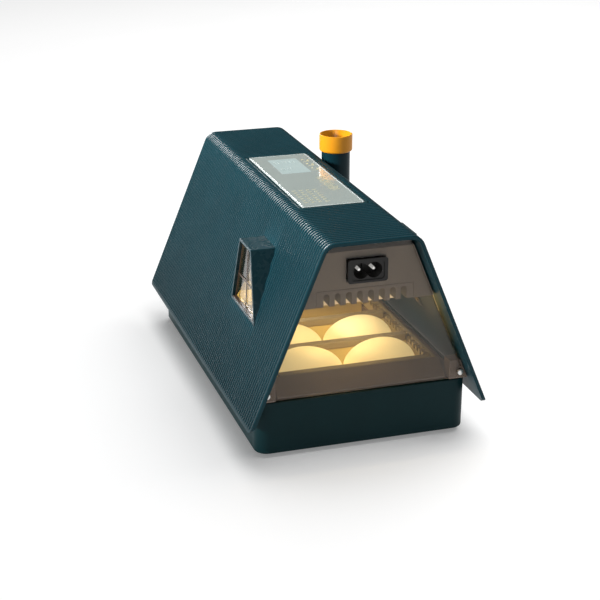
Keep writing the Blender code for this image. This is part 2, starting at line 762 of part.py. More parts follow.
def make_heater():
    """Sheathed heating ring under the fan, and the guard that carries it."""
    profile = circle(HEATER_TUBE, 8)
    profile = [(HEATER_RADIUS + x, z) for x, z in profile]
    turned("heater_ring", profile, 28, (0, FAN_Y, HEATER_Z), "Z", plated_steel())
    low = HOUSING_LOW - GAP - 1.6
    high = HOUSING_LOW - GAP
    rim = [(24.0, low), (27.0, low), (27.0, high), (24.0, high)]
    guard = turned("fan_guard", rim, 28, (0, FAN_Y, 0), "Z", inner_plastic())
    inner = turned("tool_guard_ring", [(11.0, low), (13.0, low), (13.0, high), (11.0, high)], 20,
                   (0, FAN_Y, 0), "Z", dark_plastic())
    across = tool_block("guard_across", (-25.5, 25.5), (FAN_Y - 1, FAN_Y + 1), (low, high))
    along = tool_block("guard_along", (-1, 1), (FAN_Y - 25.5, FAN_Y + 25.5), (low, high))
    join(guard, inner, across, along)


def make_electrics():
    """Lamp, climate sensor and power board."""
    low = HOUSING_LOW
    block("lamp_board", (-34, 34), (-128, -118), (low - 2.1, low - GAP), circuit_board())
    block("lamp_lens", (-34, 34), (-128, -118), (low - 6.2, low - 2.4), white_plastic(), radius=2.0)
    probe = [(0, -15.0), (2.4, -14.4), (4.0, -12.6), (4.0, -2.0), (5.4, -1.6), (5.4, 0), (0, 0)]
    turned("climate_sensor", probe, 16, (0, -30, low - GAP), "Z", white_plastic())
    board = block("power_board", (-30, 30), (-122, -84), (low + 3.0, low + 4.6), circuit_board())
    join(board, tool_block("transformer", (-12, 12), (-112, -92), (low + 4.0, low + 20)),
         tool_block("capacitor", (16, 26), (-110, -98), (low + 4.0, low + 16)))


# ---------------------------------------------------------------- drive

def involute(base_radius, radius):
    """Angle that the involute has turned through where it reaches a radius."""
    ratio = max(radius / base_radius, 1.0)
    return math.sqrt(ratio * ratio - 1) - math.acos(1 / ratio)


def gear_outline(teeth, first_angle, centre):
    """Outline in Y and Z of a spur gear with one tooth pointing at first_angle."""
    pitch_radius = MODULE * teeth / 2
    base_radius = pitch_radius * math.cos(PRESSURE)
    root = pitch_radius - DEDENDUM
    tip = pitch_radius + ADDENDUM
    half_tooth = (TOOTH_PITCH - BACKLASH) / 2 / 2 / pitch_radius
    at_pitch = involute(base_radius, pitch_radius)
    start = max(root, base_radius)
    radii = [start + (tip - start) * i / 4 for i in range(5)]
    points = []
    for tooth in range(teeth):
        middle = first_angle + 2 * math.pi * tooth / teeth
        flank = [(radius, half_tooth + at_pitch - involute(base_radius, radius)) for radius in radii]
        if root < start:
            flank.insert(0, (root, flank[0][1]))
        for radius, angle in flank:
            points.append((radius, middle - angle))
        for radius, angle in reversed(flank):
            points.append((radius, middle + angle))
    return [(centre[0] + r * math.cos(a), centre[1] + r * math.sin(a)) for r, a in points]


def make_drive():
    """Motor, its bracket and gear, and the pinion that meets the rack."""
    down = -math.pi / 2
    axle = (PINION_Y, PINION_Z)
    shaft = (GEAR_Y, GEAR_Z)
    pinion = prism("drive_pinion", gear_outline(PINION_TEETH, down, axle), "X", GEAR_X0, GEAR_X1,
                   white_plastic(), origin=(GEAR_X0, *axle))
    cut(pinion, tool_round("axle_bore", 1.55, axle, 50, 70, "X", 16))
    gap_angle = GEAR_RISE + math.pi + (GEAR_RISE - down) * PINION_TEETH / GEAR_TEETH
    first_tooth = gap_angle + math.pi / GEAR_TEETH
    gear = prism("motor_gear", gear_outline(GEAR_TEETH, first_tooth, shaft), "X", GEAR_X0, GEAR_X1,
                 white_plastic(), origin=(GEAR_X0, *shaft))
    join(gear, tool_round("gear_shaft", 2.0, shaft, BRACKET_X - 2.0, GEAR_X0 + 1, "X", 16))
    prism("pinion_axle", circle(1.5, 16, axle), "X", BRACKET_X + 2.3, GEAR_X1 + 1.5, plated_steel(),
          smooth=True)
    reach = BRACKET_X + 2.0 + SIDE_THICK + 3.4
    plate_high = ROOF_TOP_Z - (reach - ROOF_TOP_HALF) / math.tan(SLOPE_ANGLE)
    front, back = GEARBOX_FRONT + 2.5, 142.0
    plate = [(front, 52.0), (back, 52.0), (back, plate_high), (front, plate_high)]
    bracket = prism("motor_bracket", plate, "X", BRACKET_X, BRACKET_X + 2.0, plated_steel())
    cut(bracket, tool_round("shaft_room", 3.0, shaft, 40, 60, "X", 16))
    motor = prism("turner_motor", circle(MOTOR_RADIUS, 24, shaft), "X", BRACKET_X - 32.0,
                  BRACKET_X - GAP, plated_steel(), smooth=True)
    cut(motor, tool_round("motor_bore", 2.4, shaft, BRACKET_X - 3.0, 60, "X", 16))


def make_gearbox():
    """Housing at the back of the egg chamber, open below and behind."""
    low, high = GEARBOX_LOW, GEARBOX_HIGH
    outline = [(-inner_x(low) + 1, low), (inner_x(low) - 1, low),
               (inner_x(high) - 1, high), (-inner_x(high) + 1, high)]
    box = prism("gear_housing", outline, "Y", GEARBOX_FRONT, REAR_Y - GAP, inner_plastic())
    hollow = [(-inner_x(low - 5) + 3, low - 5), (inner_x(low - 5) - 3, low - 5),
              (inner_x(high - 2) - 3, high - 2), (-inner_x(high - 2) + 3, high - 2)]
    tools = [prism("tool_gear_room", hollow, "Y", GEARBOX_FRONT + 2, 160, dark_plastic())]
    for word, side in (("left", -1), ("right", 1)):
        reach = sorted((side * (RAIL_IN - 0.7), side * (RAIL_OUT + 0.7)))
        tools.append(tool_block("rail_slot_" + word, reach, (95, 110), (40, 54.4)))
    tools.append(tool_block("pinion_slot", (GEAR_X0 - 0.7, GEAR_X1 + 0.7), (95, 110), (40, 71)))
    return cut(box, *tools)


# ---------------------------------------------------------------- base, trough and tray

def make_base():
    low = rounded(rectangle(-BASE_HALF_LOW, BASE_HALF_LOW, -BASE_END + 0.9, BASE_END - 0.9),
                  [BASE_RADIUS] * 4, steps=5)
    high = rounded(rectangle(-BASE_HALF_TOP, BASE_HALF_TOP, -BASE_END, BASE_END),
                   [BASE_RADIUS] * 4, steps=5)
    chamfer = inset(low, 1.4)
    base = loft("base_tub", [[(x, y, BASE_LOW) for x, y in chamfer],
                             [(x, y, BASE_LOW + 1.4) for x, y in low],
                             [(x, y, BASE_TOP) for x, y in high]], base_plastic(), smooth=True)
    rim = inset(rectangle(-BASE_HALF_TOP, BASE_HALF_TOP, -BASE_END, BASE_END), BASE_WALL)
    well = inset(rectangle(-BASE_HALF_TOP, BASE_HALF_TOP, -BASE_END, BASE_END), BASE_WALL + 2.2)
    upper = prism("tool_base_rim", rounded(rim, [BASE_RADIUS - BASE_WALL] * 4), "Z", LEDGE_Z, 60,
                  dark_plastic())
    lower = prism("tool_base_room", rounded(well, [5.0] * 4, steps=3), "Z", BASE_LOW + 2.6, 60,
                  dark_plastic())
    cut(base, upper, lower)
    for word, x, y in (("front_left", -1, -1), ("front_right", 1, -1),
                       ("rear_left", -1, 1), ("rear_right", 1, 1)):
        profile = [(0, 0), (7.0, 0), (8.0, 0.8), (8.0, BASE_LOW - GAP), (0, BASE_LOW - GAP)]
        turned("foot_" + word, profile, 16, (x * 64, y * 128, 0), "Z", rubber())


def make_trough():
    """Water trough on the base's floor: two channels side by side."""
    low = BASE_LOW + 2.6 + GAP
    trough = block("water_trough", (-70, 70), (-126, 100), (low, low + 8.6), white_plastic(), radius=4.0)
    rooms = [tool_block("channel_left", (-68, -1.2), (-124, 98), (low + 1.8, 40)),
             tool_block("channel_right", (1.2, 68), (-124, 98), (low + 1.8, 40))]
    return cut(trough, *rooms)


def make_apron():
    """Sloped front of the tray, between the window and the turner's first bar."""
    outline = [(APRON_FRONT, TRAY_TOP - 1), (APRON_BACK, TRAY_TOP - 1), (APRON_BACK, BAR_TOP),
               (APRON_FRONT, APRON_LOW)]
    return prism("tool_apron", outline, "X", -APRON_HALF, APRON_HALF, dark_plastic())


def apron_room():
    """Hollow under the apron, open below."""
    sheet = TRAY_SHEET
    rise = (BAR_TOP - APRON_LOW) / (APRON_BACK - APRON_FRONT)
    front, back = APRON_FRONT + sheet, APRON_BACK - sheet
    roof = APRON_LOW - 0.5 * sheet
    outline = [(front, 30), (back, 30), (back, roof + (back - front) * rise), (front, roof)]
    return prism("tool_apron_room", outline, "X", -APRON_HALF + sheet, APRON_HALF - sheet,
                 dark_plastic())


def make_tray():
    flange = inset(rectangle(-BASE_HALF_TOP, BASE_HALF_TOP, -BASE_END, BASE_END), BASE_WALL + 0.4)
    tray = prism("egg_tray", rounded(flange, [6.8] * 4), "Z", TRAY_TOP - TRAY_SHEET, TRAY_TOP,
                 inner_plastic())
    sheet = TRAY_SHEET
    shell = tool_block("well_shell", (-WELL_HALF - sheet, WELL_HALF + sheet),
                       (WELL_FRONT - sheet, WELL_BACK + sheet), (WELL_FLOOR - sheet, TRAY_TOP))
    room = tool_block("well_room", (-WELL_HALF, WELL_HALF), (WELL_FRONT, WELL_BACK), (WELL_FLOOR, 60))
    filler = tool_round("filler_hole", 3.4, (71.2, CHIMNEY_Y), 30, 60, count=12)
    join(tray, shell, make_apron())
    cut(tray, room, apron_room(), filler)
    for row in range(ROWS):
        middle = FIRST_ROW_Y + row * ROW_PITCH
        for side in (-1, 1):
            reach = sorted((side * 10, side * 46))
            cut(tray, tool_block(f"steam_slot_{row}_{side + 1}", reach, (middle - 20, middle - 15),
                                 (10, 30)))


def rack_outline():
    """Side view in Y and Z of the right rail, with teeth along the stretch the pinion uses."""
    back = PINION_Y + 5.0
    low = TRAY_TOP + 0.5
    root = RACK_PITCH_Z - DEDENDUM
    tip = RACK_PITCH_Z + ADDENDUM
    half_tooth = (TOOTH_PITCH - BACKLASH) / 4
    wide = half_tooth + DEDENDUM * math.tan(PRESSURE)
    narrow = half_tooth - ADDENDUM * math.tan(PRESSURE)
    front = turner_front()
    points = [(front, low), (back, low), (back, root)]
    middle = PINION_Y + TOOTH_PITCH / 2
    while middle > PINION_Y - TURNER_TRAVEL - 7:
        points += [(middle + wide, root), (middle + narrow, tip),
                   (middle - narrow, tip), (middle - wide, root)]
        middle -= TOOTH_PITCH
    return points + [(front, root)]


def turner_front():
    return FIRST_ROW_Y - ROW_PITCH / 2 - BAR_CAP / 2


def make_turner():
    """Ladder with a toothed rail, a plain rail and a bar before and behind each row of eggs."""
    turner = prism("turner_frame", rack_outline(), "X", RAIL_IN, RAIL_OUT, inner_plastic())
    last = FIRST_ROW_Y + (ROWS - 0.5) * ROW_PITCH
    root = RACK_PITCH_Z - DEDENDUM
    parts = [tool_block("left_rail", (-RAIL_OUT, -RAIL_IN), (turner_front(), last + BAR_CAP / 2),
                        (TRAY_TOP + 0.5, root))]
    for bar in range(ROWS + 1):
        middle = FIRST_ROW_Y + (bar - 0.5) * ROW_PITCH
        cap, web = BAR_CAP / 2, BAR_WEB / 2
        outline = [(middle - web, 24.0), (middle + web, 24.0), (middle + web, BAR_CAP_Z - 1.7),
                   (middle + cap, BAR_CAP_Z), (middle + cap, BAR_TOP - 0.8), (middle + cap - 0.8, BAR_TOP),
                   (middle - cap + 0.8, BAR_TOP), (middle - cap, BAR_TOP - 0.8), (middle - cap, BAR_CAP_Z),
                   (middle - web, BAR_CAP_Z - 1.7)]
        parts.append(prism(f"tool_bar_{bar}", outline, "X", -WELL_HALF + 0.6, WELL_HALF - 0.6,
                           dark_plastic()))
        for word, side in (("l", -1), ("r", 1)):
            reach = sorted((side * (WELL_HALF - 2), side * (RAIL_IN + 1.0)))
            parts.append(tool_block(f"link_{bar}_{word}", reach, (middle - web, middle + web),
                                    (TRAY_TOP + 0.8, root - 0.4)))
    return join(turner, *parts)


def egg_profile():
    """Half outline of a hen's egg as (radius, distance along its axis), blunt end first."""
    half = EGG_LENGTH / 2
    points = [(0.0, -half)]
    steps = 9
    for i in range(1, steps):
        angle = math.pi * i / steps
        along = -math.cos(angle)
        taper = 1.0 - 0.075 * along - 0.030 * (1 - along * along)
        points.append((EGG_RADIUS * math.sin(angle) * taper, half * along))
    points.append((0.0, half))
    widest = max(radius for radius, _ in points)
    return [(radius * EGG_RADIUS / widest, along) for radius, along in points]


def make_eggs():
    """Two eggs in each filled row, blunt ends outwards."""
    for row in range(FILLED_ROWS):
        for column, side in enumerate((-1, 1)):
            profile = [(radius, -side * along) for radius, along in egg_profile()]
            if side > 0:
                profile.reverse()
            centre = (side * EGG_X, FIRST_ROW_Y + row * ROW_PITCH, EGG_Z)
            turned(f"egg_{row * 2 + column + 1}", profile, 16, centre, "X", egg_shell())


def main():
    clear_scene()
    make_roof()
    make_dormer("left", -1)
    make_dormer("right", 1)
    make_chimney()
    make_hose()
    make_panel()
    make_front()
    make_rear()
    make_housing()
    make_grille()
    make_fan()
    make_heater()
    make_electrics()
    make_drive()
    make_gearbox()
    make_base()
    make_trough()
    make_tray()
    make_turner()
    make_eggs()


main()
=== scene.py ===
"""Looks of the cabin-shaped egg incubator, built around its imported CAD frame.

Axes: +X to the right, +Y along the ridge to the back, +Z up. Lengths in the making of meshes are in
millimetres and are turned into metres by MM. Every piece stands where its CAD node stands.
"""

import math

import bmesh
import bpy
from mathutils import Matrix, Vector


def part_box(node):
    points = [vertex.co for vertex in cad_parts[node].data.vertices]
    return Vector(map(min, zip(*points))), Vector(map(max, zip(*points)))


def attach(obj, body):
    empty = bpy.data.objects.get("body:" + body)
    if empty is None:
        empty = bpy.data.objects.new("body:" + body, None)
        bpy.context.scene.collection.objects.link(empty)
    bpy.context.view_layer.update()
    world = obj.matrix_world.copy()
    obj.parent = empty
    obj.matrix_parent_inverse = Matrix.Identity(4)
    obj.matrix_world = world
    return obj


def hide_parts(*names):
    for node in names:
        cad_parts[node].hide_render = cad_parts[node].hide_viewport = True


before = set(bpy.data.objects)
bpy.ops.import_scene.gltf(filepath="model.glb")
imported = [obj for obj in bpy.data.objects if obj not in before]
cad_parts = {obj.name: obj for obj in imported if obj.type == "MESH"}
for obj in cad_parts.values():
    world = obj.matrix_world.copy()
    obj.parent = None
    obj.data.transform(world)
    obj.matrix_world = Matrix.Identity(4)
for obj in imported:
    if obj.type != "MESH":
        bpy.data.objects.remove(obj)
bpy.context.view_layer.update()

MM = 0.001

# Section of the roof shell
ROOF_LENGTH = 324.0
ROOF_TOP_Z = 162.0
ROOF_TOP_HALF = 34.6          # half width where the slopes would meet the flat top
EAVE_Z = 28.0
EAVE_HALF = 90.0
ROOF_THICK = 2.8
RIDGE_RADIUS = 11.0
EAVE_CORNER = 6.0
RUN = (EAVE_HALF - ROOF_TOP_HALF) / (ROOF_TOP_Z - EAVE_Z)
SLOPE_ANGLE = math.atan(RUN)

# Ribs that run round the roof from eave to eave
RIBS = 85
RIB_DEPTH = 0.95
RIB_STEPS = 8
RIB_ROUND = 0.6               # below 1, the crests are broad and the grooves are narrow
LIP = 2.2                     # smooth lip above the eave, where the ribs start
RIB_RISE = 2.2                # length over which they reach their depth above it
END_LIP = 1.2                 # the same two lengths at the roof's ends
EDGE_ROUND = 0.8
FAR = 1000.0                  # stands for any point too far from the eave to be shaped by it

# Dormers
DORMER_LOW_Z = 82.0
DORMER_HIGH_Z = 134.5
DORMER_LOW_Y = (-97.0, -33.0)
DORMER_HIGH_Y = (-80.0, -50.0)
DORMER_LOW_X = 67.5
DORMER_HIGH_X = 64.7

# Egg turner: bars across the tray, and a rail with rack teeth at the back and notches in front
BARS = 5
BAR_PITCH = 48.3
BAR_HALF = 57.4
RAIL_INNER = 58.5
RAIL_OUTER = 64.9
RAIL_LOW = 43.1
RACK_PITCH = 4.5
RACK_ROOT = 49.70
RACK_TIP = 52.35
PINION_Y = 109.0
NOTCHES_END = 68.0
NOTCH_PITCH = 6.3

# Share of the CAD egg's thickness that its shell takes up
EGG_SLIM = 0.955

# Chimney, and the drain spigot under it
CHIMNEY_X = 46.7
CHIMNEY_Y = 56.0
SPIGOT = (52.0, CHIMNEY_Y)

# Middle of each window peg
PEG_X = 73.2
PEG_Z = 49.6

# Pointiness of the ribs' grooves and of their crests, where the painted shade and highlight start and end
GROOVE = 0.46
CREST = 0.54

# Studio, in metres and watts
CAMERA_PLACE = (-0.3332, -1.0477, 0.4738)
CAMERA_FORWARD = (0.2823, 0.8924, -0.3522)
CAMERA_LENS = 87.89
WARM = (1.0, 0.82, 0.44)
# The warm lamp's three lights: place along the ridge, and power
LAMPS = {"lamp_front": (-0.104, 0.03), "lamp_middle": (-0.064, 0.012), "lamp_rear": (0.012, 0.13)}
LAMP_Z = 0.099


# ---------------- outlines

def slope_x(z):
    """Half width of the roof's outer slope at height z."""
    return ROOF_TOP_HALF + (ROOF_TOP_Z - z) * RUN


def inner_x(z):
    """Half width inside the roof shell at height z."""
    return slope_x(z) - ROOF_THICK / math.cos(SLOPE_ANGLE)


def span(node):
    """The lowest and highest corner of a CAD node, in millimetres."""
    low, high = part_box(node)
    return low / MM, high / MM


def rectangle(x0, x1, y0, y1):
    """An outline with square corners."""
    return [(x0, y0), (x1, y0), (x1, y1), (x0, y1)]


def circle(radius, count, centre=(0, 0), start=0.0):
    """A regular outline of count points, the first of them at the start angle."""
    return [(centre[0] + radius * math.cos(start + 2 * math.pi * i / count),
             centre[1] + radius * math.sin(start + 2 * math.pi * i / count)) for i in range(count)]


def fillet(before, corner, after, radius, steps):
    """Points of the arc that rounds a corner between two straight lines."""
    a = (Vector(before) - Vector(corner)).normalized()
    b = (Vector(after) - Vector(corner)).normalized()
    half = a.angle(b) / 2
    centre = Vector(corner) + (a + b).normalized() * (radius / math.sin(half))
    start = (Vector(corner) + a * (radius / math.tan(half)) - centre).normalized()
    end = (Vector(corner) + b * (radius / math.tan(half)) - centre).normalized()
    return [tuple(centre + start.slerp(end, i / steps) * radius) for i in range(steps + 1)]


def rounded(outline, radii, steps=6):
    """A closed outline with each corner rounded by its own radius, or by one that all share."""
    if isinstance(radii, (int, float)):
        radii = [radii] * len(outline)
    points = []
    for i, corner in enumerate(outline):
        if radii[i] <= 0:
            points.append(corner)
        else:
            points += fillet(outline[i - 1], corner, outline[(i + 1) % len(outline)], radii[i], steps)
    return points


def inset(outline, distance):
    """A convex outline, moved inwards by the given distance. A negative one moves it outwards."""
    count = len(outline)
    centre = sum((Vector(p) for p in outline), Vector((0, 0))) / count
    lines = []
    for i in range(count):
        a = Vector(outline[i])
        along = (Vector(outline[(i + 1) % count]) - a).normalized()
        normal = Vector((-along.y, along.x))
        if normal.dot(centre - a) < 0:
            normal.negate()
        lines.append((a + normal * distance, along))
    points = []
    for i in range(count):
        (p, u), (q, v) = lines[i - 1], lines[i]
        points.append(tuple(p + u * ((q - p).cross(v) / u.cross(v))))
    return points


# ---------------- making pieces

def skin(bm, rings, closed=False):
    """Join rings of equal length into one closed body: capped, or with its last ring met by its first."""
    made = [[bm.verts.new(point) for point in ring] for ring in rings]
    pairs = list(zip(made, made[1:]))
    if closed:
        pairs.append((made[-1], made[0]))
    else:
        bm.faces.new(made[0])
        bm.faces.new(list(reversed(made[-1])))
    count = len(made[0])
    for low, high in pairs:
        for i in range(count):
            j = (i + 1) % count
            bm.faces.new((low[i], high[i], high[j], low[j]))


def solid(name, bm, look):
    """An object from a bmesh in millimetres."""
    bmesh.ops.remove_doubles(bm, verts=bm.verts, dist=0.0005)
    bmesh.ops.recalc_face_normals(bm, faces=bm.faces)
    for vert in bm.verts:
        vert.co *= MM
    mesh = bpy.data.meshes.new(name)
    bm.to_mesh(mesh)
    bm.free()
    made = bpy.data.objects.new(name, mesh)
    made.data.materials.append(look)
    bpy.context.scene.collection.objects.link(made)
    return made


def loft(name, rings, look, closed=False):
    """A solid through rings of equal length."""
    bm = bmesh.new()
    skin(bm, rings, closed)
    return solid(name, bm, look)


def ring_at(outline, axis, depth):
    """An outline's points in space: (y, z) at a depth along X, (x, z) along Y, or (x, y) along Z."""
    place = {"X": lambda a, b: (depth, a, b), "Y": lambda a, b: (a, depth, b),
             "Z": lambda a, b: (a, b, depth)}[axis]
    return [place(a, b) for a, b in outline]


def prism(name, outline, axis, low, high, look):
    """A solid with the same outline from low to high along an axis."""
    return loft(name, [ring_at(outline, axis, low), ring_at(outline, axis, high)], look)


def box(name, x, y, z, look, radius=0.0):
    """A block given by its (low, high) pairs, with its upright edges rounded if asked."""
    outline = rectangle(*x, *y)
    return prism(name, rounded(outline, radius) if radius else outline, "Z", *z, look)


def turned(name, profile, centre, axis, look, count=48):
    """Turn a (radius, height) profile round an axis through centre. A radius of 0 closes an end."""
    side, other, along = {"X": ((0, 1, 0), (0, 0, 1), (1, 0, 0)), "Y": ((1, 0, 0), (0, 0, 1), (0, 1, 0)),
                          "Z": ((1, 0, 0), (0, 1, 0), (0, 0, 1))}[axis]
    bm = bmesh.new()
    rings = []
    for radius, height in profile:
        middle = Vector(centre) + Vector(along) * height
        if radius == 0:
            rings.append([bm.verts.new(middle)])
        else:
            rings.append([bm.verts.new(middle + Vector(side) * a + Vector(other) * b)
                          for a, b in circle(radius, count)])
    closed = profile[0][0] > 0
    for low, high in zip(rings, rings[1:] + rings[:1]) if closed else zip(rings, rings[1:]):
        for i in range(count):
            j = (i + 1) % count
            corners = [low[i % len(low)], low[j % len(low)], high[j % len(high)], high[i % len(high)]]
            bm.faces.new(list(dict.fromkeys(corners)))
    return solid(name, bm, look)


def tube(name, points, radius, look, count=16):
    """A round solid along a line of points that lies in one plane of constant Y."""
    rings = []
    for i, point in enumerate(points):
        before = Vector(points[max(i - 1, 0)])
        after = Vector(points[min(i + 1, len(points) - 1)])
        along = (after - before).normalized()
        side = Vector((0, 1, 0))
        other = along.cross(side)
        rings.append([Vector(point) + side * a + other * b for a, b in circle(radius, count)])
    return loft(name, rings, look)


def bake(piece):
    """Apply a piece's modifiers to its mesh."""
    bpy.context.view_layer.update()
    graph = bpy.context.evaluated_depsgraph_get()
    mesh = bpy.data.meshes.new_from_object(piece.evaluated_get(graph))
    piece.modifiers.clear()
    piece.data = mesh
    return piece


def combine(piece, tools, operation):
    """Join a piece with tools or cut it by them. The tools are then removed."""
    for tool in tools:
        change = piece.modifiers.new("combine", "BOOLEAN")
        change.object = tool
        change.operation = operation
        change.solver = "EXACT"
    bake(piece)
    for tool in tools:
        bpy.data.objects.remove(tool)
    return piece


def cut(piece, *tools):
    return combine(piece, tools, "DIFFERENCE")


def join(piece, *tools):
    return combine(piece, tools, "UNION")


def bevel(piece, width, segments=2):
    """Add a modifier that rounds a piece's sharp edges by a width in millimetres."""
    change = piece.modifiers.new("soft_edges", "BEVEL")
    change.width = width * MM
    change.segments = segments
    change.limit_method = "ANGLE"
    change.angle_limit = math.radians(35)
    change.harden_normals = True


def soften(piece, width, segments=2):
    """Round a piece's sharp edges in its mesh."""
    bevel(piece, width, segments)
    return bake(piece)


def keep(piece, body, slot, *nodes, sharp=30, even=True):
    """Shade a finished piece, ride it on its body and let it stand for its CAD nodes.

    Edges stay sharp above the sharp angle, in degrees. Even shading keeps large faces flat."""
    piece.data.shade_smooth()
    if sharp:
        piece.data.set_sharp_from_angle(angle=math.radians(sharp))
    if even:
        change = piece.modifiers.new("even_shading", "WEIGHTED_NORMAL")
        change.keep_sharp = True
        change.weight = 100
        bake(piece)
    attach(piece, body)
    if nodes:
        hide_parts(*nodes)


# ---------------- materials

def add(tree, kind, settings=(), **inputs):
    """A node with its settings, and its inputs by name: a socket to link, or a value."""
    made = tree.nodes.new(kind)
    for key, value in dict(settings).items():
        setattr(made, key, value)
    for key, value in inputs.items():
        socket = made.inputs[key.replace("_", " ")]
        if isinstance(value, bpy.types.NodeSocket):
            tree.links.new(value, socket)
        else:
            socket.default_value = value
    return made


def noise(tree, scale, detail=4.0, stretch=(1, 1, 1)):
    """Noise over the piece, with its scale in features per metre."""
    place = add(tree, "ShaderNodeTexCoord").outputs["Object"]
    scaled = add(tree, "ShaderNodeMapping", Vector=place, Scale=stretch).outputs[0]
    return add(tree, "ShaderNodeTexNoise", Vector=scaled, Scale=scale, Detail=detail,
               Roughness=0.55).outputs["Fac"]


def between(tree, factor, low, high, start=0.3, end=0.7):
    """A value that goes from low to high as the factor goes from start to end."""
    return add(tree, "ShaderNodeMapRange", Value=factor, From_Min=start, From_Max=end, To_Min=low,
               To_Max=high).outputs[0]


def tones(tree, factor, dark, light, start=0.3, end=0.7):
    """A colour that goes from dark to light as the factor goes from start to end."""
    ramp = add(tree, "ShaderNodeValToRGB", Fac=factor)
    first, last = ramp.color_ramp.elements
    first.position, first.color = start, (*dark, 1)
    last.position, last.color = end, (*light, 1)
    return ramp.outputs["Color"]


def shade(colour, factor):
    """A colour made darker or lighter."""
    return tuple(min(1.0, part * factor) for part in colour)


def surface(name, colour, rough=(0.40, 0.50), vary=0.12, mottle=30.0, grain=1400.0, depth=0.02,
            stretch=(1, 1, 1), hollows=None, **settings):
    """A material whose tone, roughness and relief vary over the surface. Depth is in millimetres.

    Hollows is a pair of factors that scale the colour by the mesh's pointiness: painted shade in the grooves
    and a painted highlight on the crests."""
    made = bpy.data.materials.new(name)
    made.use_nodes = True
    tree = made.node_tree
    shader = tree.nodes["Principled BSDF"]
    cloud = noise(tree, mottle, 5.0, stretch)
    speck = noise(tree, grain, 3.0, stretch)
    tone = tones(tree, cloud, shade(colour, 1 - vary), shade(colour, 1 + vary))
    if hollows:
        # Painted shade and highlight: the colour is darkened in the grooves and lightened on the crests by
        # the pointiness.
        shape = add(tree, "ShaderNodeNewGeometry").outputs["Pointiness"]
        painted_groove_shade = between(tree, shape, *hollows, GROOVE, CREST)
        tone = add(tree, "ShaderNodeVectorMath", {"operation": "SCALE"}, Vector=tone, Scale=painted_groove_shade).outputs[0]
    tree.links.new(tone, shader.inputs["Base Color"])
    smear = noise(tree, mottle * 4, 6.0, stretch)
    tree.links.new(between(tree, smear, *rough), shader.inputs["Roughness"])
    bump = add(tree, "ShaderNodeBump", Height=speck, Distance=depth * MM, Strength=1.0)
    tree.links.new(bump.outputs["Normal"], shader.inputs["Normal"])
    for key, value in settings.items():
        shader.inputs[key.replace("_", " ")].default_value = value
    return made


def clear(name, tint, rough, fixed=0.06, most=0.9, colour=(0.9, 0.9, 0.9), metal=1.0, rise=3.0):
    """Clear plastic: tinted see-through, with reflections that grow from fixed to most.

    They grow with the view's tilt from the surface's normal, to the power rise."""
    made = bpy.data.materials.new(name)
    made.use_nodes = True
    tree = made.node_tree
    shader = tree.nodes["Principled BSDF"]
    shader.inputs["Base Color"].default_value = (*colour, 1)
    shader.inputs["Metallic"].default_value = metal
    tree.links.new(between(tree, noise(tree, 60.0, 4.0), *rough), shader.inputs["Roughness"])
    ripple = add(tree, "ShaderNodeBump", Height=noise(tree, 25.0, 2.0), Distance=0.02 * MM, Strength=0.5)
    tree.links.new(ripple.outputs["Normal"], shader.inputs["Normal"])
    through = add(tree, "ShaderNodeBsdfTransparent", Color=(*tint, 1)).outputs[0]
    tilt = add(tree, "ShaderNodeLayerWeight", Blend=0.5).outputs["Facing"]
    glance = add(tree, "ShaderNodeMath", {"operation": "POWER"}, Value=tilt)
    glance.inputs[1].default_value = rise
    amount = between(tree, glance.outputs[0], fixed, most, 0.0, 1.0)
    mixed = add(tree, "ShaderNodeMixShader", Fac=amount)
    tree.links.new(through, mixed.inputs[1])
    tree.links.new(shader.outputs[0], mixed.inputs[2])
    tree.links.new(mixed.outputs[0], tree.nodes["Material Output"].inputs["Surface"])
    return made


def shell_looks():
    """The roof, the base and what stands on them."""
    teal = (0.0042, 0.026, 0.034)
    return {
        # The roof's hollows paint shade into its rib grooves and a highlight onto its crests.
        "roof": surface("ribbed_teal_plastic", teal, (0.29, 0.35), vary=0.07, depth=0.004,
                        hollows=(0.25, 1.35), Specular_IOR_Level=0.12),
        "hood": surface("smooth_teal_plastic", teal, (0.22, 0.32), vary=0.06, depth=0.01,
                        Specular_IOR_Level=0.2),
        "base": surface("dark_teal_plastic", (0.0030, 0.023, 0.027), (0.36, 0.46), vary=0.08, depth=0.02,
                        Specular_IOR_Level=0.1),
        "pipe": surface("chimney_plastic", (0.003, 0.018, 0.024), (0.30, 0.40), vary=0.08, depth=0.012,
                        Specular_IOR_Level=0.1),
        # The cap's faint orange emission is a painted glow that brightens it.
        "cap": surface("orange_plastic", (0.50, 0.20, 0.007), (0.34, 0.46), vary=0.05, depth=0.012,
                       Specular_IOR_Level=0.2, Emission_Color=(1.0, 0.42, 0.01, 1), Emission_Strength=0.04),
    }


def inside_looks():
    """Plastics under the roof."""
    return {
        "housing": surface("taupe_plastic", (0.36, 0.33, 0.285), (0.45, 0.6), vary=0.05, depth=0.03),
        "tray": surface("sand_plastic", (0.20, 0.15, 0.115), (0.38, 0.52), vary=0.07, depth=0.02),
        # The turner's two looks are lit and shaded copies of one plastic: the ladder and webs are painted
        # brighter gold, as if lit by the eggs' glow; the bar caps get a darker copy as painted shade. The
        # rail takes the same darker copy.
        "turner": surface("turner_painted_light", (0.84, 0.69, 0.28), (0.38, 0.52), vary=0.07, depth=0.02),
        "rail": surface("rail_and_cap_painted_shade", (0.33, 0.27, 0.15), (0.38, 0.52), vary=0.07, depth=0.02),
        "trough": surface("milky_plastic", (0.62, 0.60, 0.55), (0.35, 0.5), vary=0.06),
    }


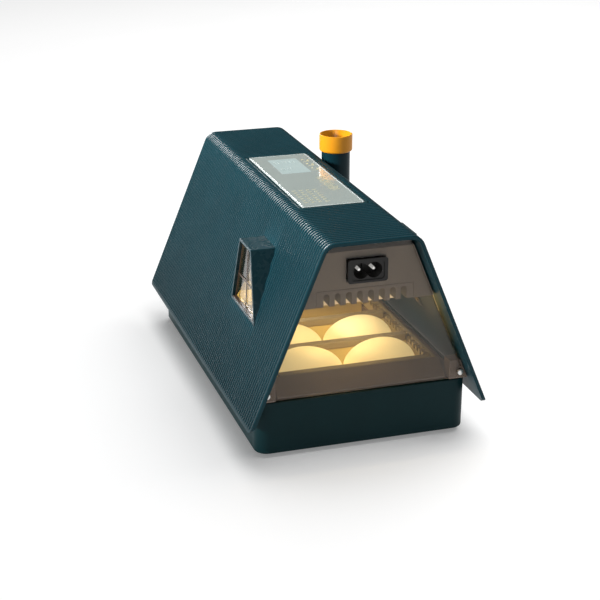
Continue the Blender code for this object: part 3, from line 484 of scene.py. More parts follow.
def trim_looks():
    """Window trims, the mains inlet and the control panel."""
    return {
        "trim": surface("bronze_trim", (0.050, 0.030, 0.020), (0.30, 0.42), vary=0.15, depth=0.01),
        # The sill's orange colour is painted warm light from the lamp inside; the sill is part of the dark
        # trim.
        "sill": surface("sill_painted_warm_light", (0.36, 0.10, 0.025), (0.30, 0.42), vary=0.15, depth=0.01,
                        Specular_IOR_Level=0.2),
        "bezel": surface("black_plastic", (0.012, 0.011, 0.010), (0.32, 0.45), vary=0.2, depth=0.02,
                         Specular_IOR_Level=0.3),
        "edge": surface("bright_rim", (0.38, 0.42, 0.41), (0.45, 0.58), vary=0.04, depth=0.004,
                        Specular_IOR_Level=0.1),
        "glass": surface("panel_glass", (0.26, 0.30, 0.28), (0.10, 0.20), vary=0.05, mottle=18.0, depth=0.002,
                         Coat_Weight=0.6, Coat_Roughness=0.05),
        "lcd": surface("display_face", (0.34, 0.42, 0.41), (0.14, 0.22), vary=0.03, depth=0.002,
                       Coat_Weight=0.5, Coat_Roughness=0.05),
        "mark": surface("printed_marks", (0.50, 0.46, 0.26), (0.35, 0.5), vary=0.08, depth=0.004),
        "digit": surface("display_segments", (0.30, 0.37, 0.36), (0.3, 0.4), vary=0.1, depth=0.002),
    }


def part_looks():
    """Metal, gears, boards, feet, the eggs and the lamp's cover."""
    return {
        "steel": surface("plated_steel", (0.66, 0.66, 0.64), (0.22, 0.36), vary=0.06, depth=0.006,
                         stretch=(1, 1, 0.2), Metallic=1.0),
        # The pins' emission is a painted highlight that makes their tips bright as if they caught the light.
        "pin": surface("contact_pin", (0.80, 0.80, 0.77), (0.40, 0.50), vary=0.04, depth=0.004,
                       Metallic=0.4, Emission_Color=(1.0, 0.98, 0.94, 1), Emission_Strength=0.3),
        "gear": surface("gear_plastic", (0.74, 0.72, 0.66), (0.35, 0.5), vary=0.05),
        "rubber": surface("foot_rubber", (0.018, 0.018, 0.018), (0.75, 0.9), vary=0.25, depth=0.05),
        "board": surface("circuit_board", (0.014, 0.13, 0.045), (0.35, 0.5), vary=0.2, mottle=160.0),
        # The eggs' emission is a painted glow: it stands in for the warm lamp light shining through the
        # shells.
        "egg": surface("eggshell", (0.93, 0.82, 0.50), (0.42, 0.55), vary=0.05, mottle=45.0, grain=1100.0,
                       depth=0.03, Emission_Color=(1.0, 0.82, 0.38, 1), Emission_Strength=0.75),
        "lens": surface("lamp_diffuser", (0.95, 0.86, 0.66), (0.4, 0.5), vary=0.03,
                        Emission_Color=(1.0, 0.78, 0.42, 1), Emission_Strength=0.6),
    }


def clear_looks():
    """See-through plastics."""
    return {
        "window": clear("smoked_window", (0.80, 0.76, 0.72), (0.05, 0.12), fixed=0.03,
                        colour=(0.95, 0.92, 0.88)),
        "pane": clear("dormer_pane_plastic", (0.92, 0.90, 0.88), (0.06, 0.12), fixed=0.02,
                      most=0.6),
        "hose": clear("silicone_hose_plastic", (0.75, 0.76, 0.74), (0.3, 0.4), fixed=0.55,
                      colour=(0.55, 0.56, 0.54), metal=0.0),
    }


def make_looks():
    """Every material, by a short name."""
    return {**shell_looks(), **inside_looks(), **trim_looks(), **part_looks(), **clear_looks()}


# ---------------- roof

def rib_offset(share):
    """Depth below the crests at a share of one rib's pitch, from 0 to 1."""
    return RIB_DEPTH * (1 - math.sin(math.pi * share) ** RIB_ROUND)


def edge_offset(distance, radius):
    """Depth of a rounded edge at a distance from where it ends."""
    if distance >= radius:
        return 0.0
    return radius - math.sqrt(radius * radius - (radius - distance) ** 2)


def smooth_step(value):
    """A soft step from 0 to 1."""
    value = min(1.0, max(0.0, value))
    return value * value * (3 - 2 * value)


def half_section():
    """(x, z, outward normal, distance from the eave) from the right eave up to the ridge line."""
    turn = math.pi / 2 - SLOPE_ANGLE
    reach = RIDGE_RADIUS * math.tan(turn / 2)
    normal = Vector((math.cos(SLOPE_ANGLE), math.sin(SLOPE_ANGLE)))
    up = Vector((-math.sin(SLOPE_ANGLE), math.cos(SLOPE_ANGLE)))
    eave = Vector((EAVE_HALF, EAVE_Z))
    slope_length = (Vector((ROOF_TOP_HALF, ROOF_TOP_Z)) - eave).length - reach
    near_eave = [0.0, 0.08, 0.25, 0.5, EDGE_ROUND, LIP, LIP + 0.5, LIP + 1.0, LIP + 1.5]
    near_eave.append(LIP + RIB_RISE)
    rest = [near_eave[-1] + (slope_length - near_eave[-1]) * i / 8 for i in range(1, 9)]
    section = [(eave + up * d, normal, d) for d in near_eave + rest]
    centre = Vector((ROOF_TOP_HALF - reach, ROOF_TOP_Z - RIDGE_RADIUS))
    arc_steps = 14
    for i in range(1, arc_steps + 1):
        angle = SLOPE_ANGLE + turn * i / arc_steps
        out = Vector((math.cos(angle), math.sin(angle)))
        section.append((centre + out * RIDGE_RADIUS, out, FAR))
    section += [(Vector((centre.x * (1 - i / 3), ROOF_TOP_Z)), Vector((0, 1)), FAR) for i in (1, 2, 3)]
    return section


def full_section():
    """The whole section, from the left eave over the top to the right eave."""
    right = half_section()
    left = [(Vector((-p.x, p.y)), Vector((-n.x, n.y)), d) for p, n, d in right[:-1]]
    return left + list(reversed(right))


def roof_stations():
    """(y, rib depth, depth of the rounded end) along the roof."""
    half = ROOF_LENGTH / 2
    pitch = ROOF_LENGTH / RIBS
    stations = []
    for i in range(1, RIBS * RIB_STEPS):
        share = (i / RIB_STEPS) % 1.0
        y = -half + i * pitch / RIB_STEPS
        fade = smooth_step((half - abs(y) - END_LIP) / END_LIP)
        stations.append((y, rib_offset(share) * fade, edge_offset(half - abs(y), EDGE_ROUND)))
    for distance in (0.0, 0.08, 0.25):
        for side in (-1, 1):
            stations.append((side * (half - distance), 0.0, edge_offset(distance, EDGE_ROUND)))
    return sorted(stations)


def outer_rows(bm, section, stations):
    """Rows of vertices over the ribbed outside, one for each station."""
    rows = []
    for y, rib, end in stations:
        row = []
        for point, normal, distance in section:
            ribbed = rib * smooth_step((distance - LIP) / RIB_RISE)
            offset = max(ribbed, end, edge_offset(distance, EDGE_ROUND))
            spot = point - normal * offset
            row.append(bm.verts.new((spot.x, y, max(spot.y, EAVE_Z))))
        rows.append(row)
    return rows


def inner_rows(bm, section, ends):
    """Rows of vertices over the plain inside, one for each end."""
    rows = []
    for y in ends:
        row = []
        for point, normal, distance in section:
            spot = point - normal * ROOF_THICK
            if spot.y < EAVE_Z or distance == 0.0:
                spot = Vector((math.copysign(inner_x(EAVE_Z), point.x), EAVE_Z))
            row.append(bm.verts.new((spot.x, y, spot.y)))
        rows.append(row)
    return rows


def make_roof(looks):
    """Ribbed shell, with its openings for the panel, the dormers and the chimney's spigot."""
    section = full_section()
    stations = roof_stations()
    bm = bmesh.new()
    outer = outer_rows(bm, section, stations)
    inner = inner_rows(bm, section, (stations[0][0], stations[-1][0]))
    last = len(section) - 1
    for low, high in zip(outer, outer[1:]):
        for i in range(last):
            bm.faces.new((low[i], low[i + 1], high[i + 1], high[i]))
    for i in range(last):
        bm.faces.new((inner[0][i], inner[1][i], inner[1][i + 1], inner[0][i + 1]))
        for row, edge in ((outer[0], inner[0]), (outer[-1], inner[1])):
            bm.faces.new((row[i], edge[i], edge[i + 1], row[i + 1]))
    for i in (0, last):
        bm.faces.new([row[i] for row in outer] + [inner[1][i], inner[0][i]])
    roof = solid("roof_shell_ribbed", bm, looks["roof"])
    cut(roof, *roof_tools(looks))
    keep(roof, "lid", "roof_plastic", "roof_shell", sharp=50, even=False)


def roof_tools(looks):
    """Cutters for the roof's openings and for its rounded eave corners."""
    look = looks["roof"]
    low, high = span("panel_frame")
    gap = 0.3
    tools = [box("tool_panel", (low.x - gap, high.x + gap), (low.y - gap, high.y + gap), (150, 170), look),
             prism("tool_spigot", circle(4.8, 24, SPIGOT), "Z", 90, 128, look)]
    for word, reach in (("left", (-85, -36)), ("right", (36, 85))):
        tools.append(prism("tool_dormer_" + word, inset(dormer_outline(), -0.1), "X", *reach, look))
    for end in (-1, 1):
        corner = (end * ROOF_LENGTH / 2, EAVE_Z)
        before = (end * ROOF_LENGTH / 2, 60.0)
        after = (0.0, EAVE_Z)
        arc = fillet(before, corner, after, EAVE_CORNER, 10)
        outline = arc + [(arc[-1][0], EAVE_Z - 5), (end * (ROOF_LENGTH / 2 + 5), EAVE_Z - 5),
                         (end * (ROOF_LENGTH / 2 + 5), arc[0][1])]
        tools.append(prism(f"tool_corner_{end}", outline, "X", -100, 100, look))
    return tools


# ---------------- dormers

def dormer_outline():
    """The dormer window's outline in Y and Z."""
    return [(DORMER_LOW_Y[0], DORMER_LOW_Z), (DORMER_LOW_Y[1], DORMER_LOW_Z),
            (DORMER_HIGH_Y[1], DORMER_HIGH_Z), (DORMER_HIGH_Y[0], DORMER_HIGH_Z)]


def face_x(z):
    """Distance from the middle plane to the dormer's window plane, which leans inwards."""
    lean = (DORMER_LOW_X - DORMER_HIGH_X) / (DORMER_HIGH_Z - DORMER_LOW_Z)
    return DORMER_LOW_X - (z - DORMER_LOW_Z) * lean


def dormer_ring(side, shrink, depth, radius=0.9):
    """A ring round the dormer, so far inside its outline and behind its window plane.

    A depth of None puts it on the inside of the roof."""
    outline = rounded(inset(dormer_outline(), shrink), max(radius - shrink * 0.2, 0.25), 4)
    if depth is None:
        return [(side * (inner_x(z) - 0.4), y, z) for y, z in outline]
    return [(side * (face_x(z) - depth), y, z) for y, z in outline]


def slant(name, side, outline, near, far, look):
    """A bar parallel to the dormer's window plane, between two depths behind it."""
    faces = [[(side * (face_x(z) - depth), y, z) for y, z in outline] for depth in (near, far)]
    return loft(name, faces, look)


def make_dormer(word, side, looks):
    """Hood, window trim with its bars and sill, and pane. Side is -1 on the left and 1 on the right."""
    lip = [(0, 0.5), (0.15, 0.15), (0.5, 0), (1.5, 0), (1.85, 0.15), (2.0, 0.5)]
    rings = [dormer_ring(side, 0, None)]
    rings += [dormer_ring(side, shrink, depth) for shrink, depth in lip]
    rings += [dormer_ring(side, 2.0, None)]
    hood = loft("dormer_hood_shell_" + word, rings, looks["hood"], closed=True)
    keep(hood, "lid", "roof_plastic", "dormer_hood_" + word)

    look = looks["trim"]
    frame_rings = [dormer_ring(side, shrink, depth)
                   for shrink, depth in ((2.05, 3.1), (2.05, 2.5), (3.0, 2.5), (3.0, 3.1))]
    window = loft("dormer_trim_" + word, frame_rings, look, closed=True)
    middle_y = sum(DORMER_LOW_Y) / 2
    middle_z = 104.5
    upright = rectangle(middle_y - 0.6, middle_y + 0.6, DORMER_LOW_Z + 2.4, DORMER_HIGH_Z - 2.4)
    level = [(DORMER_LOW_Y[0] + 9.8, middle_z - 0.6), (DORMER_LOW_Y[1] - 9.8, middle_z - 0.6),
             (DORMER_LOW_Y[1] - 10.2, middle_z + 0.6), (DORMER_LOW_Y[0] + 10.2, middle_z + 0.6)]
    bars = [slant("tool_upright_" + word, side, upright, 2.5, 3.0, look),
            slant("tool_level_" + word, side, level, 2.5, 3.0, look)]
    sill_z = DORMER_LOW_Z + 2.05
    sill = rectangle(DORMER_LOW_Y[0] + 4.2, DORMER_LOW_Y[1] - 4.2, sill_z, sill_z + 0.8)
    # The sill takes the look with painted warm light.
    bars.append(slant("tool_sill_" + word, side, sill, 0.6, 3.0, looks["sill"]))
    soften(join(window, *bars), 0.15)
    keep(window, "lid", "frame_plastic", "dormer_frame_" + word)

    pane_rings = [dormer_ring(side, 2.5, 3.3), dormer_ring(side, 2.3, 3.5), dormer_ring(side, 2.3, 4.6),
                  dormer_ring(side, 2.5, 4.8)]
    pane = loft("dormer_glazing_" + word, pane_rings, looks["pane"])
    keep(pane, "lid", "window_plastic", "dormer_pane_" + word)


# ---------------- chimney

def seat_height(x, gap):
    """Height of the roof's outside at x, on the rounded edge and the slope, plus a gap above it."""
    on_slope = ROOF_TOP_Z - (x - ROOF_TOP_HALF) / RUN
    return min(on_slope + gap / math.sin(SLOPE_ANGLE), ROOF_TOP_Z + gap)


def make_chimney(looks):
    """Pipe with its spigot, the cap's ring round its top, and the hose below."""
    centre = (CHIMNEY_X, CHIMNEY_Y)
    outer, bore, top = 11.65, 9.65, 171.7
    ring = circle(outer, 64, centre)
    rim = [(outer, top - 0.7), (outer - 0.2, top - 0.2), (outer - 0.7, top)]
    rings = [[(x, y, seat_height(x, 0.1)) for x, y in ring]]
    rings += [ring_at(circle(radius, 64, centre), "Z", z) for radius, z in rim]
    pipe = loft("chimney_tube", rings, looks["pipe"])
    spigot = prism("tool_spigot_tube", circle(4.5, 32, SPIGOT), "Z", 96, 124, looks["pipe"])
    hollow = loft("tool_bore", [[(x, y, seat_height(x, 3.0)) for x, y in circle(bore, 64, centre)],
                                ring_at(circle(bore, 64, centre), "Z", top + 5)], looks["pipe"])
    drain = prism("tool_drain", circle(2.8, 24, SPIGOT), "Z", 90, 140, looks["pipe"])
    join(pipe, spigot)
    cut(pipe, hollow, drain)
    keep(pipe, "lid", "roof_plastic", "chimney_pipe")

    low, high = span("chimney_cap")
    wide = high.x - CHIMNEY_X
    tall = high.z - low.z
    outline = [(wide - 1.2, tall), (wide - 3.1, 7.0), (outer - 0.9, 6.2), (outer + 0.35, 6.0),
               (outer + 0.35, 0.0), (wide, 0.0), (wide, tall)]
    profile = rounded(outline, (0.5, 0.4, 0.2, 0.2, 0.3, 1.6, 0.55), 5)
    cap = turned("chimney_cap_ring", profile, (*centre, low.z), "Z", looks["cap"], 72)
    keep(cap, "chimney_cap", "cap_plastic", "chimney_cap")

    stops = [(52.0, 95.6), (52.2, 90.0), (54.4, 83.0), (58.8, 74.5), (63.4, 66.5), (67.4, 59.6),
             (70.2, 53.4), (71.2, 46.5)]
    points = [(spot.x, CHIMNEY_Y, spot.y) for spot in smooth_line([Vector(s) for s in stops], 6)]
    hose = tube("filler_hose_line", points, 4.0, looks["hose"], 20)
    keep(hose, "lid", "hose_rubber", "filler_hose")


def smooth_line(stops, steps):
    """Points of a smooth curve through the stops."""
    points = []
    for i in range(len(stops) - 1):
        a = stops[max(i - 1, 0)]
        b = stops[i]
        c = stops[i + 1]
        d = stops[min(i + 2, len(stops) - 1)]
        for step in range(steps):
            t = step / steps
            points.append(0.5 * (2 * b + (c - a) * t + (2 * a - 5 * b + 4 * c - d) * t * t
                                 + (3 * b - a - 3 * c + d) * t ** 3))
    return points + [stops[-1]]


# ---------------- control panel

def slab(name, x, y, z, radius, look, edge=0.3):
    """A flat block with round corners and softly rounded edges."""
    return soften(box(name, x, y, z, look, radius), edge, 3)


def make_panel(looks):
    """Control panel: its surround, a bright rim, the glass and what shows through it."""
    low, high = span("panel_frame")
    glass_low, glass_high = span("glass_panel")
    x = (glass_low.x, glass_high.x)
    y = (glass_low.y, glass_high.y)
    look = looks["base"]
    frame_piece = box("panel_surround", (low.x, high.x), (low.y, high.y), (low.z, high.z), look, 3.2)
    gap = 0.3
    recess = box("tool_recess", (x[0] - gap, x[1] + gap), (y[0] - gap, y[1] + gap), (159.4, 170), look, 1.8)
    opening = box("tool_opening", (-13, 13), (12, 56.5), (150, 170), look, 1.0)
    soften(cut(frame_piece, recess, opening), 0.35, 2)
    keep(frame_piece, "lid", "frame_plastic", "panel_frame")

    look = looks["edge"]
    rim = box("panel_rim", x, y, (159.8, glass_high.z - 0.05), look, 1.8)
    inner = 1.1
    hole = box("tool_rim", (x[0] + inner, x[1] - inner), (y[0] + inner, y[1] - inner), (150, 170), look, 1.2)
    soften(cut(rim, hole), 0.2, 2)
    keep(rim, "lid", "panel_glass", "glass_panel")
    inner += 0.08
    glass = slab("panel_cover_glass", (x[0] + inner, x[1] - inner), (y[0] + inner, y[1] - inner),
                 (159.7, glass_high.z), 1.15, looks["glass"], 0.15)
    keep(glass, "lid", "panel_glass", "glass_panel")
    make_display(looks, glass_high.z)
    make_marks(looks, glass_high.z)


def flat_mark(bm, outline, top):
    """Add a printed mark to a mesh: a closed outline in X and Y, a hair above the glass."""
    skin(bm, [ring_at(outline, "Z", top + 0.01), ring_at(outline, "Z", top + 0.05)])


def bar(x, y, wide, tall, turn=0.0):
    """A small bar with its middle at x, y."""
    c, s = math.cos(turn), math.sin(turn)
    return [(x + a * c - b * s, y + a * s + b * c)
            for a, b in rectangle(-wide / 2, wide / 2, -tall / 2, tall / 2)]


def make_display(looks, top):
    """The lit display under the glass, with two rows of digits."""
    low, high = span("lcd_display")
    x = (low.x, high.x)
    y = (low.y, high.y)
    face = slab("display_window", x, y, (top + 0.01, top + 0.04), 1.0, looks["lcd"], 0.01)
    keep(face, "lid", "display")
    module = slab("display_module", x, y, (low.z, high.z), 0.8, looks["bezel"])
    keep(module, "lid", "display", "lcd_display")

    bm = bmesh.new()
    digits = {"3": "abgcd", "7": "abc", "8": "abcdefg"}
    digit_pitch, row_pitch = 6.6, 19
    for row, (text, size) in enumerate((("378", 1.0), ("83", 0.8))):
        for place, letter in enumerate(text):
            middle = Vector((low.x + 4.6 + place * digit_pitch * size, high.y - 10 - row * row_pitch))
            for name in digits[letter]:
                flat_mark(bm, segment(name, middle, size), top + 0.04)
    keep(solid("display_digits", bm, looks["digit"]), "lid", "display")


def make_marks(looks, top):
    """Printed marks on the glass: key signs beside the display, slanted lines, and rows of dashes."""
    bm = bmesh.new()
    high = span("lcd_display")[1]
    right = high.x + 5.4
    for i in range(3):
        y = high.y - 6 - i * 13
        flat_mark(bm, circle(1.5, 3, (right - 1.6, y), math.pi / 2), top)
        flat_mark(bm, circle(1.1, 20, (right + 2.2, y - 2.5)), top)
        flat_mark(bm, bar(right, y - 6.0, 5.2, 0.55), top)
    for i in range(16):
        flat_mark(bm, bar(14.5 - (i % 3) * 0.5, -2 - i * 2.5, 9.5 - (i % 4), 0.45, 0.35), top)
    for row in range(7):
        for column in range(4):
            x = -17.5 + column * 5.4
            y = -34 - row * 5.2
            flat_mark(bm, bar(x, y, 3.6 - (row + column) % 3 * 0.5, 0.5), top)
            flat_mark(bm, bar(x - 0.8, y - 1.6, 1.8 + (row * column) % 3 * 0.5, 0.4), top)
    keep(solid("panel_marks", bm, looks["mark"]), "lid", "panel_glass")


def segment(name, middle, size):
    """One bar of a seven-bar digit."""
    half, tall = 1.7 * size, 3.1 * size
    spots = {"a": (0, 2 * tall, 1), "g": (0, tall, 1), "d": (0, 0, 1), "b": (half, 1.5 * tall, 0),
             "c": (half, 0.5 * tall, 0), "f": (-half, 1.5 * tall, 0), "e": (-half, 0.5 * tall, 0)}
    x, y, flat = spots[name]
    wide, high = (2 * half - 0.9, 0.7) if flat else (0.7, tall - 0.9)
    return bar(middle.x + x, middle.y + y - tall, wide, high)


# ---------------- ends of the lid

def end_outline(low, high, gap, radius):
    """Outline in X and Z of a panel that follows the inside of the roof."""
    corners = [(-inner_x(low) + gap, low), (inner_x(low) - gap, low),
               (inner_x(high) - gap, high), (-inner_x(high) + gap, high)]
    return rounded(corners, (1.0, 1.0, radius, radius), 10)


def make_window(looks):
    """Clear sheet with holes for the mains inlet and for its two pegs."""
    low, high = span("front_window")
    look = looks["window"]
    pane = prism("front_window_sheet", end_outline(low.z, high.z, 2.2, 7.0), "Y", low.y, high.y, look)
    inlet_low, inlet_high = span("power_inlet")
    half, tall, middle = 13.45, 7.5, (inlet_low.z + inlet_high.z) / 2
    tools = [box("tool_inlet", (-half, half), (-160, -140), (middle - tall, middle + tall), look)]
    for word, side in (("left", -1), ("right", 1)):
        spot = (side * PEG_X, PEG_Z)
        tools.append(prism("tool_peg_" + word, circle(1.5, 20, spot), "Y", -160, -140, look))
        peg_low, peg_high = span("window_peg_" + word)
        long = peg_high.y - peg_low.y
        profile = [(0, 0), (1.5, 0.0), (2.1, 0.25), (2.35, 0.75), (2.35, 1.2), (1.1, 1.2), (1.1, long),
                   (0, long)]
        peg = turned("window_pin_" + word, profile, (spot[0], peg_low.y, spot[1]), "Y", looks["steel"], 24)
        keep(peg, "lid", "plated_steel", "window_peg_" + word)
    soften(cut(pane, *tools), 0.4, 2)
    keep(pane, "lid", "window_plastic", "front_window")


def make_inlet(looks):
    """Figure-8 inlet: a bezel with a raised rim, the recess and two pins."""
    low, high = span("power_inlet")
    middle = (low.z + high.z) / 2
    face = low.y
    look = looks["bezel"]
    bezel = rounded(rectangle(low.x, high.x, low.z, high.z), 2.0, 8)
    inlet = prism("mains_inlet_body", bezel, "Y", face, face + 1.8, look)
    body = box("tool_body", (-13.15, 13.15), (face + 0.8, high.y), (middle - 7.2, middle + 7.2), look)
    join(inlet, body)
    recess = rounded(rectangle(-12.2, 12.2, middle - 6.9, middle + 6.9), 2.4, 8)
    step = prism("tool_step", recess, "Y", face - 5, face + 0.7, look)
    lobes = [prism(f"tool_lobe_{side}", circle(5.75, 40, (side * 4.8, middle)), "Y", face - 5, -138.0, look)
             for side in (-1, 1)]
    cut(inlet, step, *lobes)
    soften(inlet, 0.25, 2)
    keep(inlet, "lid", "inlet_plastic", "power_inlet")
    for word, side in (("left", -1), ("right", 1)):
        pin_low, pin_high = span("inlet_pin_" + word)
        long = pin_high.y - pin_low.y
        profile = [(0, 0), (0.45, 0.0), (0.95, 0.4), (1.15, 1.0), (1.15, long), (0, long)]
        spot = ((pin_low.x + pin_high.x) / 2, pin_low.y, middle)
        pin = turned("mains_pin_" + word, profile, spot, "Y", looks["pin"], 24)
        keep(pin, "lid", "plated_steel", "inlet_pin_" + word)


def make_rear(looks):
    """Rear cover with five air slots and its four screws."""
    low, high = span("rear_cover")
    look = looks["base"]
    cover = prism("rear_cover_sheet", end_outline(low.z, high.z, 2.2, 7.0), "Y", low.y, high.y, look)
    tools = []
    for i in range(5):
        z = 118 + 5 * i
        slot = rounded(rectangle(-24, 24, z, z + 2.4), 1.15, 5)
        tools.append(prism(f"tool_air_{i}", slot, "Y", 140, 155, look))
    for i in range(1, 5):
        screw_low, screw_high = span(f"rear_screw_{i}")
        centre = (screw_low + screw_high) / 2
        tools.append(prism(f"tool_hole_{i}", circle(1.6, 20, (centre.x, centre.z)), "Y", 140, 155, look))
        make_screw(i, centre, screw_high.y, screw_low.y, looks["steel"])
    soften(cut(cover, *tools), 0.4, 2)
    keep(cover, "lid", "base_plastic", "rear_cover")


def make_screw(number, centre, head, tip, look):
    """A pan-head screw with a cross recess, pointing along -Y."""
    profile = [(0, 0), (1.6, 0.0), (2.4, -0.3), (2.85, -0.9), (2.9, -1.4), (1.2, -1.4), (1.2, tip - head),
               (0, tip - head)]
    screw = turned(f"rear_screw_head_{number}", profile, (centre.x, head, centre.z), "Y", look, 28)
    arms = [box(f"tool_arm_{i}", (centre.x - a, centre.x + a), (head - 0.8, head + 1),
                (centre.z - b, centre.z + b), look) for i, (a, b) in enumerate(((1.7, 0.3), (0.3, 1.7)))]
    join(arms[0], arms[1])
    cut(screw, arms[0])
    keep(screw, "lid", "plated_steel", f"rear_screw_{number}")


# ---------------- inside the lid

def make_grille(looks):
    """Comb of upright slots that the warm air leaves through."""
    low, high = span("air_grille")
    grille = box("air_comb", (low.x, high.x), (low.y, high.y), (low.z, high.z), looks["housing"])
    tools = []
    for i in range(8):
        middle = (i - 3.5) * 8.2
        outline = rounded([(middle - 2.1, 100), (middle + 2.1, 100), (middle + 2.1, 119.8),
                           (middle - 2.1, 119.8)], (0, 0, 2.05, 2.05), 8)
        tools.append(prism(f"tool_slot_{i}", outline, "Y", low.y - 5, high.y + 5, looks["housing"]))
    soften(cut(grille, *tools), 0.25, 2)
    keep(grille, "lid", "housing_plastic", "air_grille")


def make_heater(looks):
    """Heating element, bent into a ring under the fan."""
    low, high = span("heater_ring")
    tube_radius = (high.z - low.z) / 2
    ring_radius = (high.x - low.x) / 2 - tube_radius
    profile = [(ring_radius + a, b) for a, b in circle(tube_radius, 20)]
    centre = (low + high) / 2
    ring = turned("heater_element", profile, centre, "Z", looks["steel"], 96)
    keep(ring, "lid", "plated_steel", "heater_ring", sharp=60)


def make_lamp(looks):
    """Softly rounded cover of the lamp."""
    low, high = span("lamp_lens")
    lens = slab("lamp_cover", (low.x, high.x), (low.y, high.y), (low.z, high.z), 2.5, looks["lens"], 1.2)
    keep(lens, "lid", "lamp_diffuser", "lamp_lens")


# ---------------- base, turner and eggs

def base_outline(half, end, grow, corner):
    """Outline of the tub in X and Y, grown by a distance. Corner is its corners' radius before that."""
    return rounded(rectangle(-half - grow, half + grow, -end - grow, end + grow), corner + grow, 12)


def make_base(looks):
    """Tub with round upright corners, a soft bottom edge and a ledge for the tray."""
    low, high = span("base_tub")
    narrow = 0.3
    outer = [(-1.6 - narrow, low.z), (-0.75 - narrow, low.z + 0.25), (-0.2 - narrow, low.z + 0.8),
             (-narrow, low.z + 1.6), (0.0, high.z - 0.6), (-0.18, high.z - 0.18), (-0.6, high.z)]
    inner = [(-2.6, high.z), (-2.6, 40.3), (-4.8, 40.3), (-4.8, low.z + 2.6)]
    rings = [ring_at(base_outline(high.x, high.y, grow, 10.0), "Z", z) for grow, z in outer + inner]
    keep(loft("base_shell", rings, looks["base"]), "base", "base_plastic", "base_tub")


def rack_outline(front):
    """Side view in Y and Z of the toothed rail: rack teeth at the back, notches in the rest."""
    back = PINION_Y + 5.0
    tooth = ((1.72, RACK_ROOT), (0.55, RACK_TIP - 0.1), (0.40, RACK_TIP),
             (-0.40, RACK_TIP), (-0.55, RACK_TIP - 0.1), (-1.72, RACK_ROOT))
    floor = RACK_TIP - 3.4
    notch = ((1.7, RACK_TIP), (1.4, floor), (-1.4, floor), (-1.7, RACK_TIP))
    points = [(front, RAIL_LOW), (back, RAIL_LOW), (back, RACK_ROOT)]
    middle = PINION_Y + RACK_PITCH / 2
    while middle > NOTCHES_END + RACK_PITCH:
        points += [(middle + across, z) for across, z in tooth]
        middle -= RACK_PITCH
    points += [(NOTCHES_END, RACK_ROOT), (NOTCHES_END, RACK_TIP)]
    middle = NOTCHES_END - NOTCH_PITCH
    while middle > front + 4:
        points += [(middle + across, z) for across, z in notch]
        middle -= NOTCH_PITCH
    return points + [(front, RACK_TIP)]


def make_rail(front, look):
    """Toothed rail on the right, with the notches backed by a strip."""
    rail = prism("turner_rail", rack_outline(front), "X", RAIL_INNER, RAIL_OUTER, look)
    strip = box("tool_strip", (RAIL_INNER + 3.7, RAIL_OUTER), (front, NOTCHES_END), (45.0, RACK_TIP), look)
    soften(join(rail, strip), 0.2, 2)
    keep(rail, "turner", "tray_plastic")


def cap_outline(middle):
    """Section in Y and Z of the wide cap along the top of a bar."""
    web, wide, top = 1.8, 3.5, 55.0
    outline = [(middle + web, 48.7), (middle + wide, 50.4), (middle + wide, top),
               (middle - wide, top), (middle - wide, 50.4), (middle - web, 48.7)]
    return rounded(outline, (0.3, 0.5, 1.0, 1.0, 0.5, 0.3), 4)


def make_turner(looks):
    """Ladder with a toothed rail, a plain rail and a bar before and behind each row of eggs."""
    look = looks["turner"]
    front = span("turner_frame")[0].y
    # The rail takes the darker copy of the turner plastic.
    make_rail(front, looks["rail"])
    first = front + 3.5
    back = first + (BARS - 1) * BAR_PITCH + 3.5
    ladder = box("turner_ladder", (-RAIL_OUTER, -RAIL_INNER), (front, back), (RAIL_LOW, 49.7), look)
    webs = []
    caps = []
    for i in range(BARS):
        middle = first + i * BAR_PITCH
        y = (middle - 1.8, middle + 1.8)
        webs.append(prism(f"tool_web_{i}", rectangle(*y, 24.0, 49.5), "X", -BAR_HALF, BAR_HALF, look))
        # The caps use the darker copy of the turner plastic: painted shade.
        caps.append(prism(f"turner_cap_{i}", cap_outline(middle), "X", -BAR_HALF, BAR_HALF, looks["rail"]))
        for side in (-1, 1):
            ends = sorted((side * 56, side * 59.5))
            webs.append(box(f"tool_link_{i}_{side}", ends, y, (43.4, 49.2), look))
    soften(join(ladder, *webs), 0.2, 2)
    keep(ladder, "turner", "tray_plastic", "turner_frame")
    keep(join(*caps), "turner", "tray_plastic")


def make_egg(number, looks):
    """A hen's egg on its side, blunt end outwards."""
    low, high = span(f"egg_{number}")
    centre = (low + high) / 2
    half = (high.x - low.x) / 2
    radius = (high.z - low.z) / 2 * EGG_SLIM
    side = 1 if centre.x > 0 else -1
    steps = 40
    profile = []
    for i in range(steps + 1):
        angle = math.pi * i / steps
        along = -math.cos(angle)
        taper = 1.0 - 0.075 * along - 0.030 * (1 - along * along)
        profile.append((math.sin(angle) * taper, along))
    widest = max(r for r, _ in profile)
    profile = [(0 if i in (0, steps) else r * radius / widest, -side * along * half)
               for i, (r, along) in enumerate(profile)]
    egg = turned(f"egg_shell_{number}", profile, centre, "X", looks["egg"], 72)
    keep(egg, f"egg_{number}", "eggshell", f"egg_{number}", sharp=0)


def dress(node, look):
    """Give a CAD node that stays its material, and round its edges with modifiers."""
    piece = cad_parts[node]
    piece.data.materials.clear()
    piece.data.materials.append(look)
    weld = piece.modifiers.new("weld", "WELD")
    weld.merge_threshold = 0.002 * MM
    bevel(piece, 0.25)


def dress_rest(looks):
    """Materials for the CAD nodes whose shape is right as it is."""
    finishes = {
        "housing": ("upper_housing", "gear_housing", "fan_guard"),
        "tray": ("egg_tray", "corner_boss_left", "corner_boss_right"), "trough": ("water_trough",),
        "bezel": ("fan_frame", "fan_rotor"),
        "steel": ("motor_bracket", "turner_motor", "pinion_axle"),
        "gear": ("drive_pinion", "motor_gear", "climate_sensor"),
        "rubber": ("foot_front_left", "foot_front_right", "foot_rear_left", "foot_rear_right"),
        "board": ("control_board", "power_board", "lamp_board"),
    }
    for look, nodes in finishes.items():
        for node in nodes:
            dress(node, looks[look])


# ---------------- studio

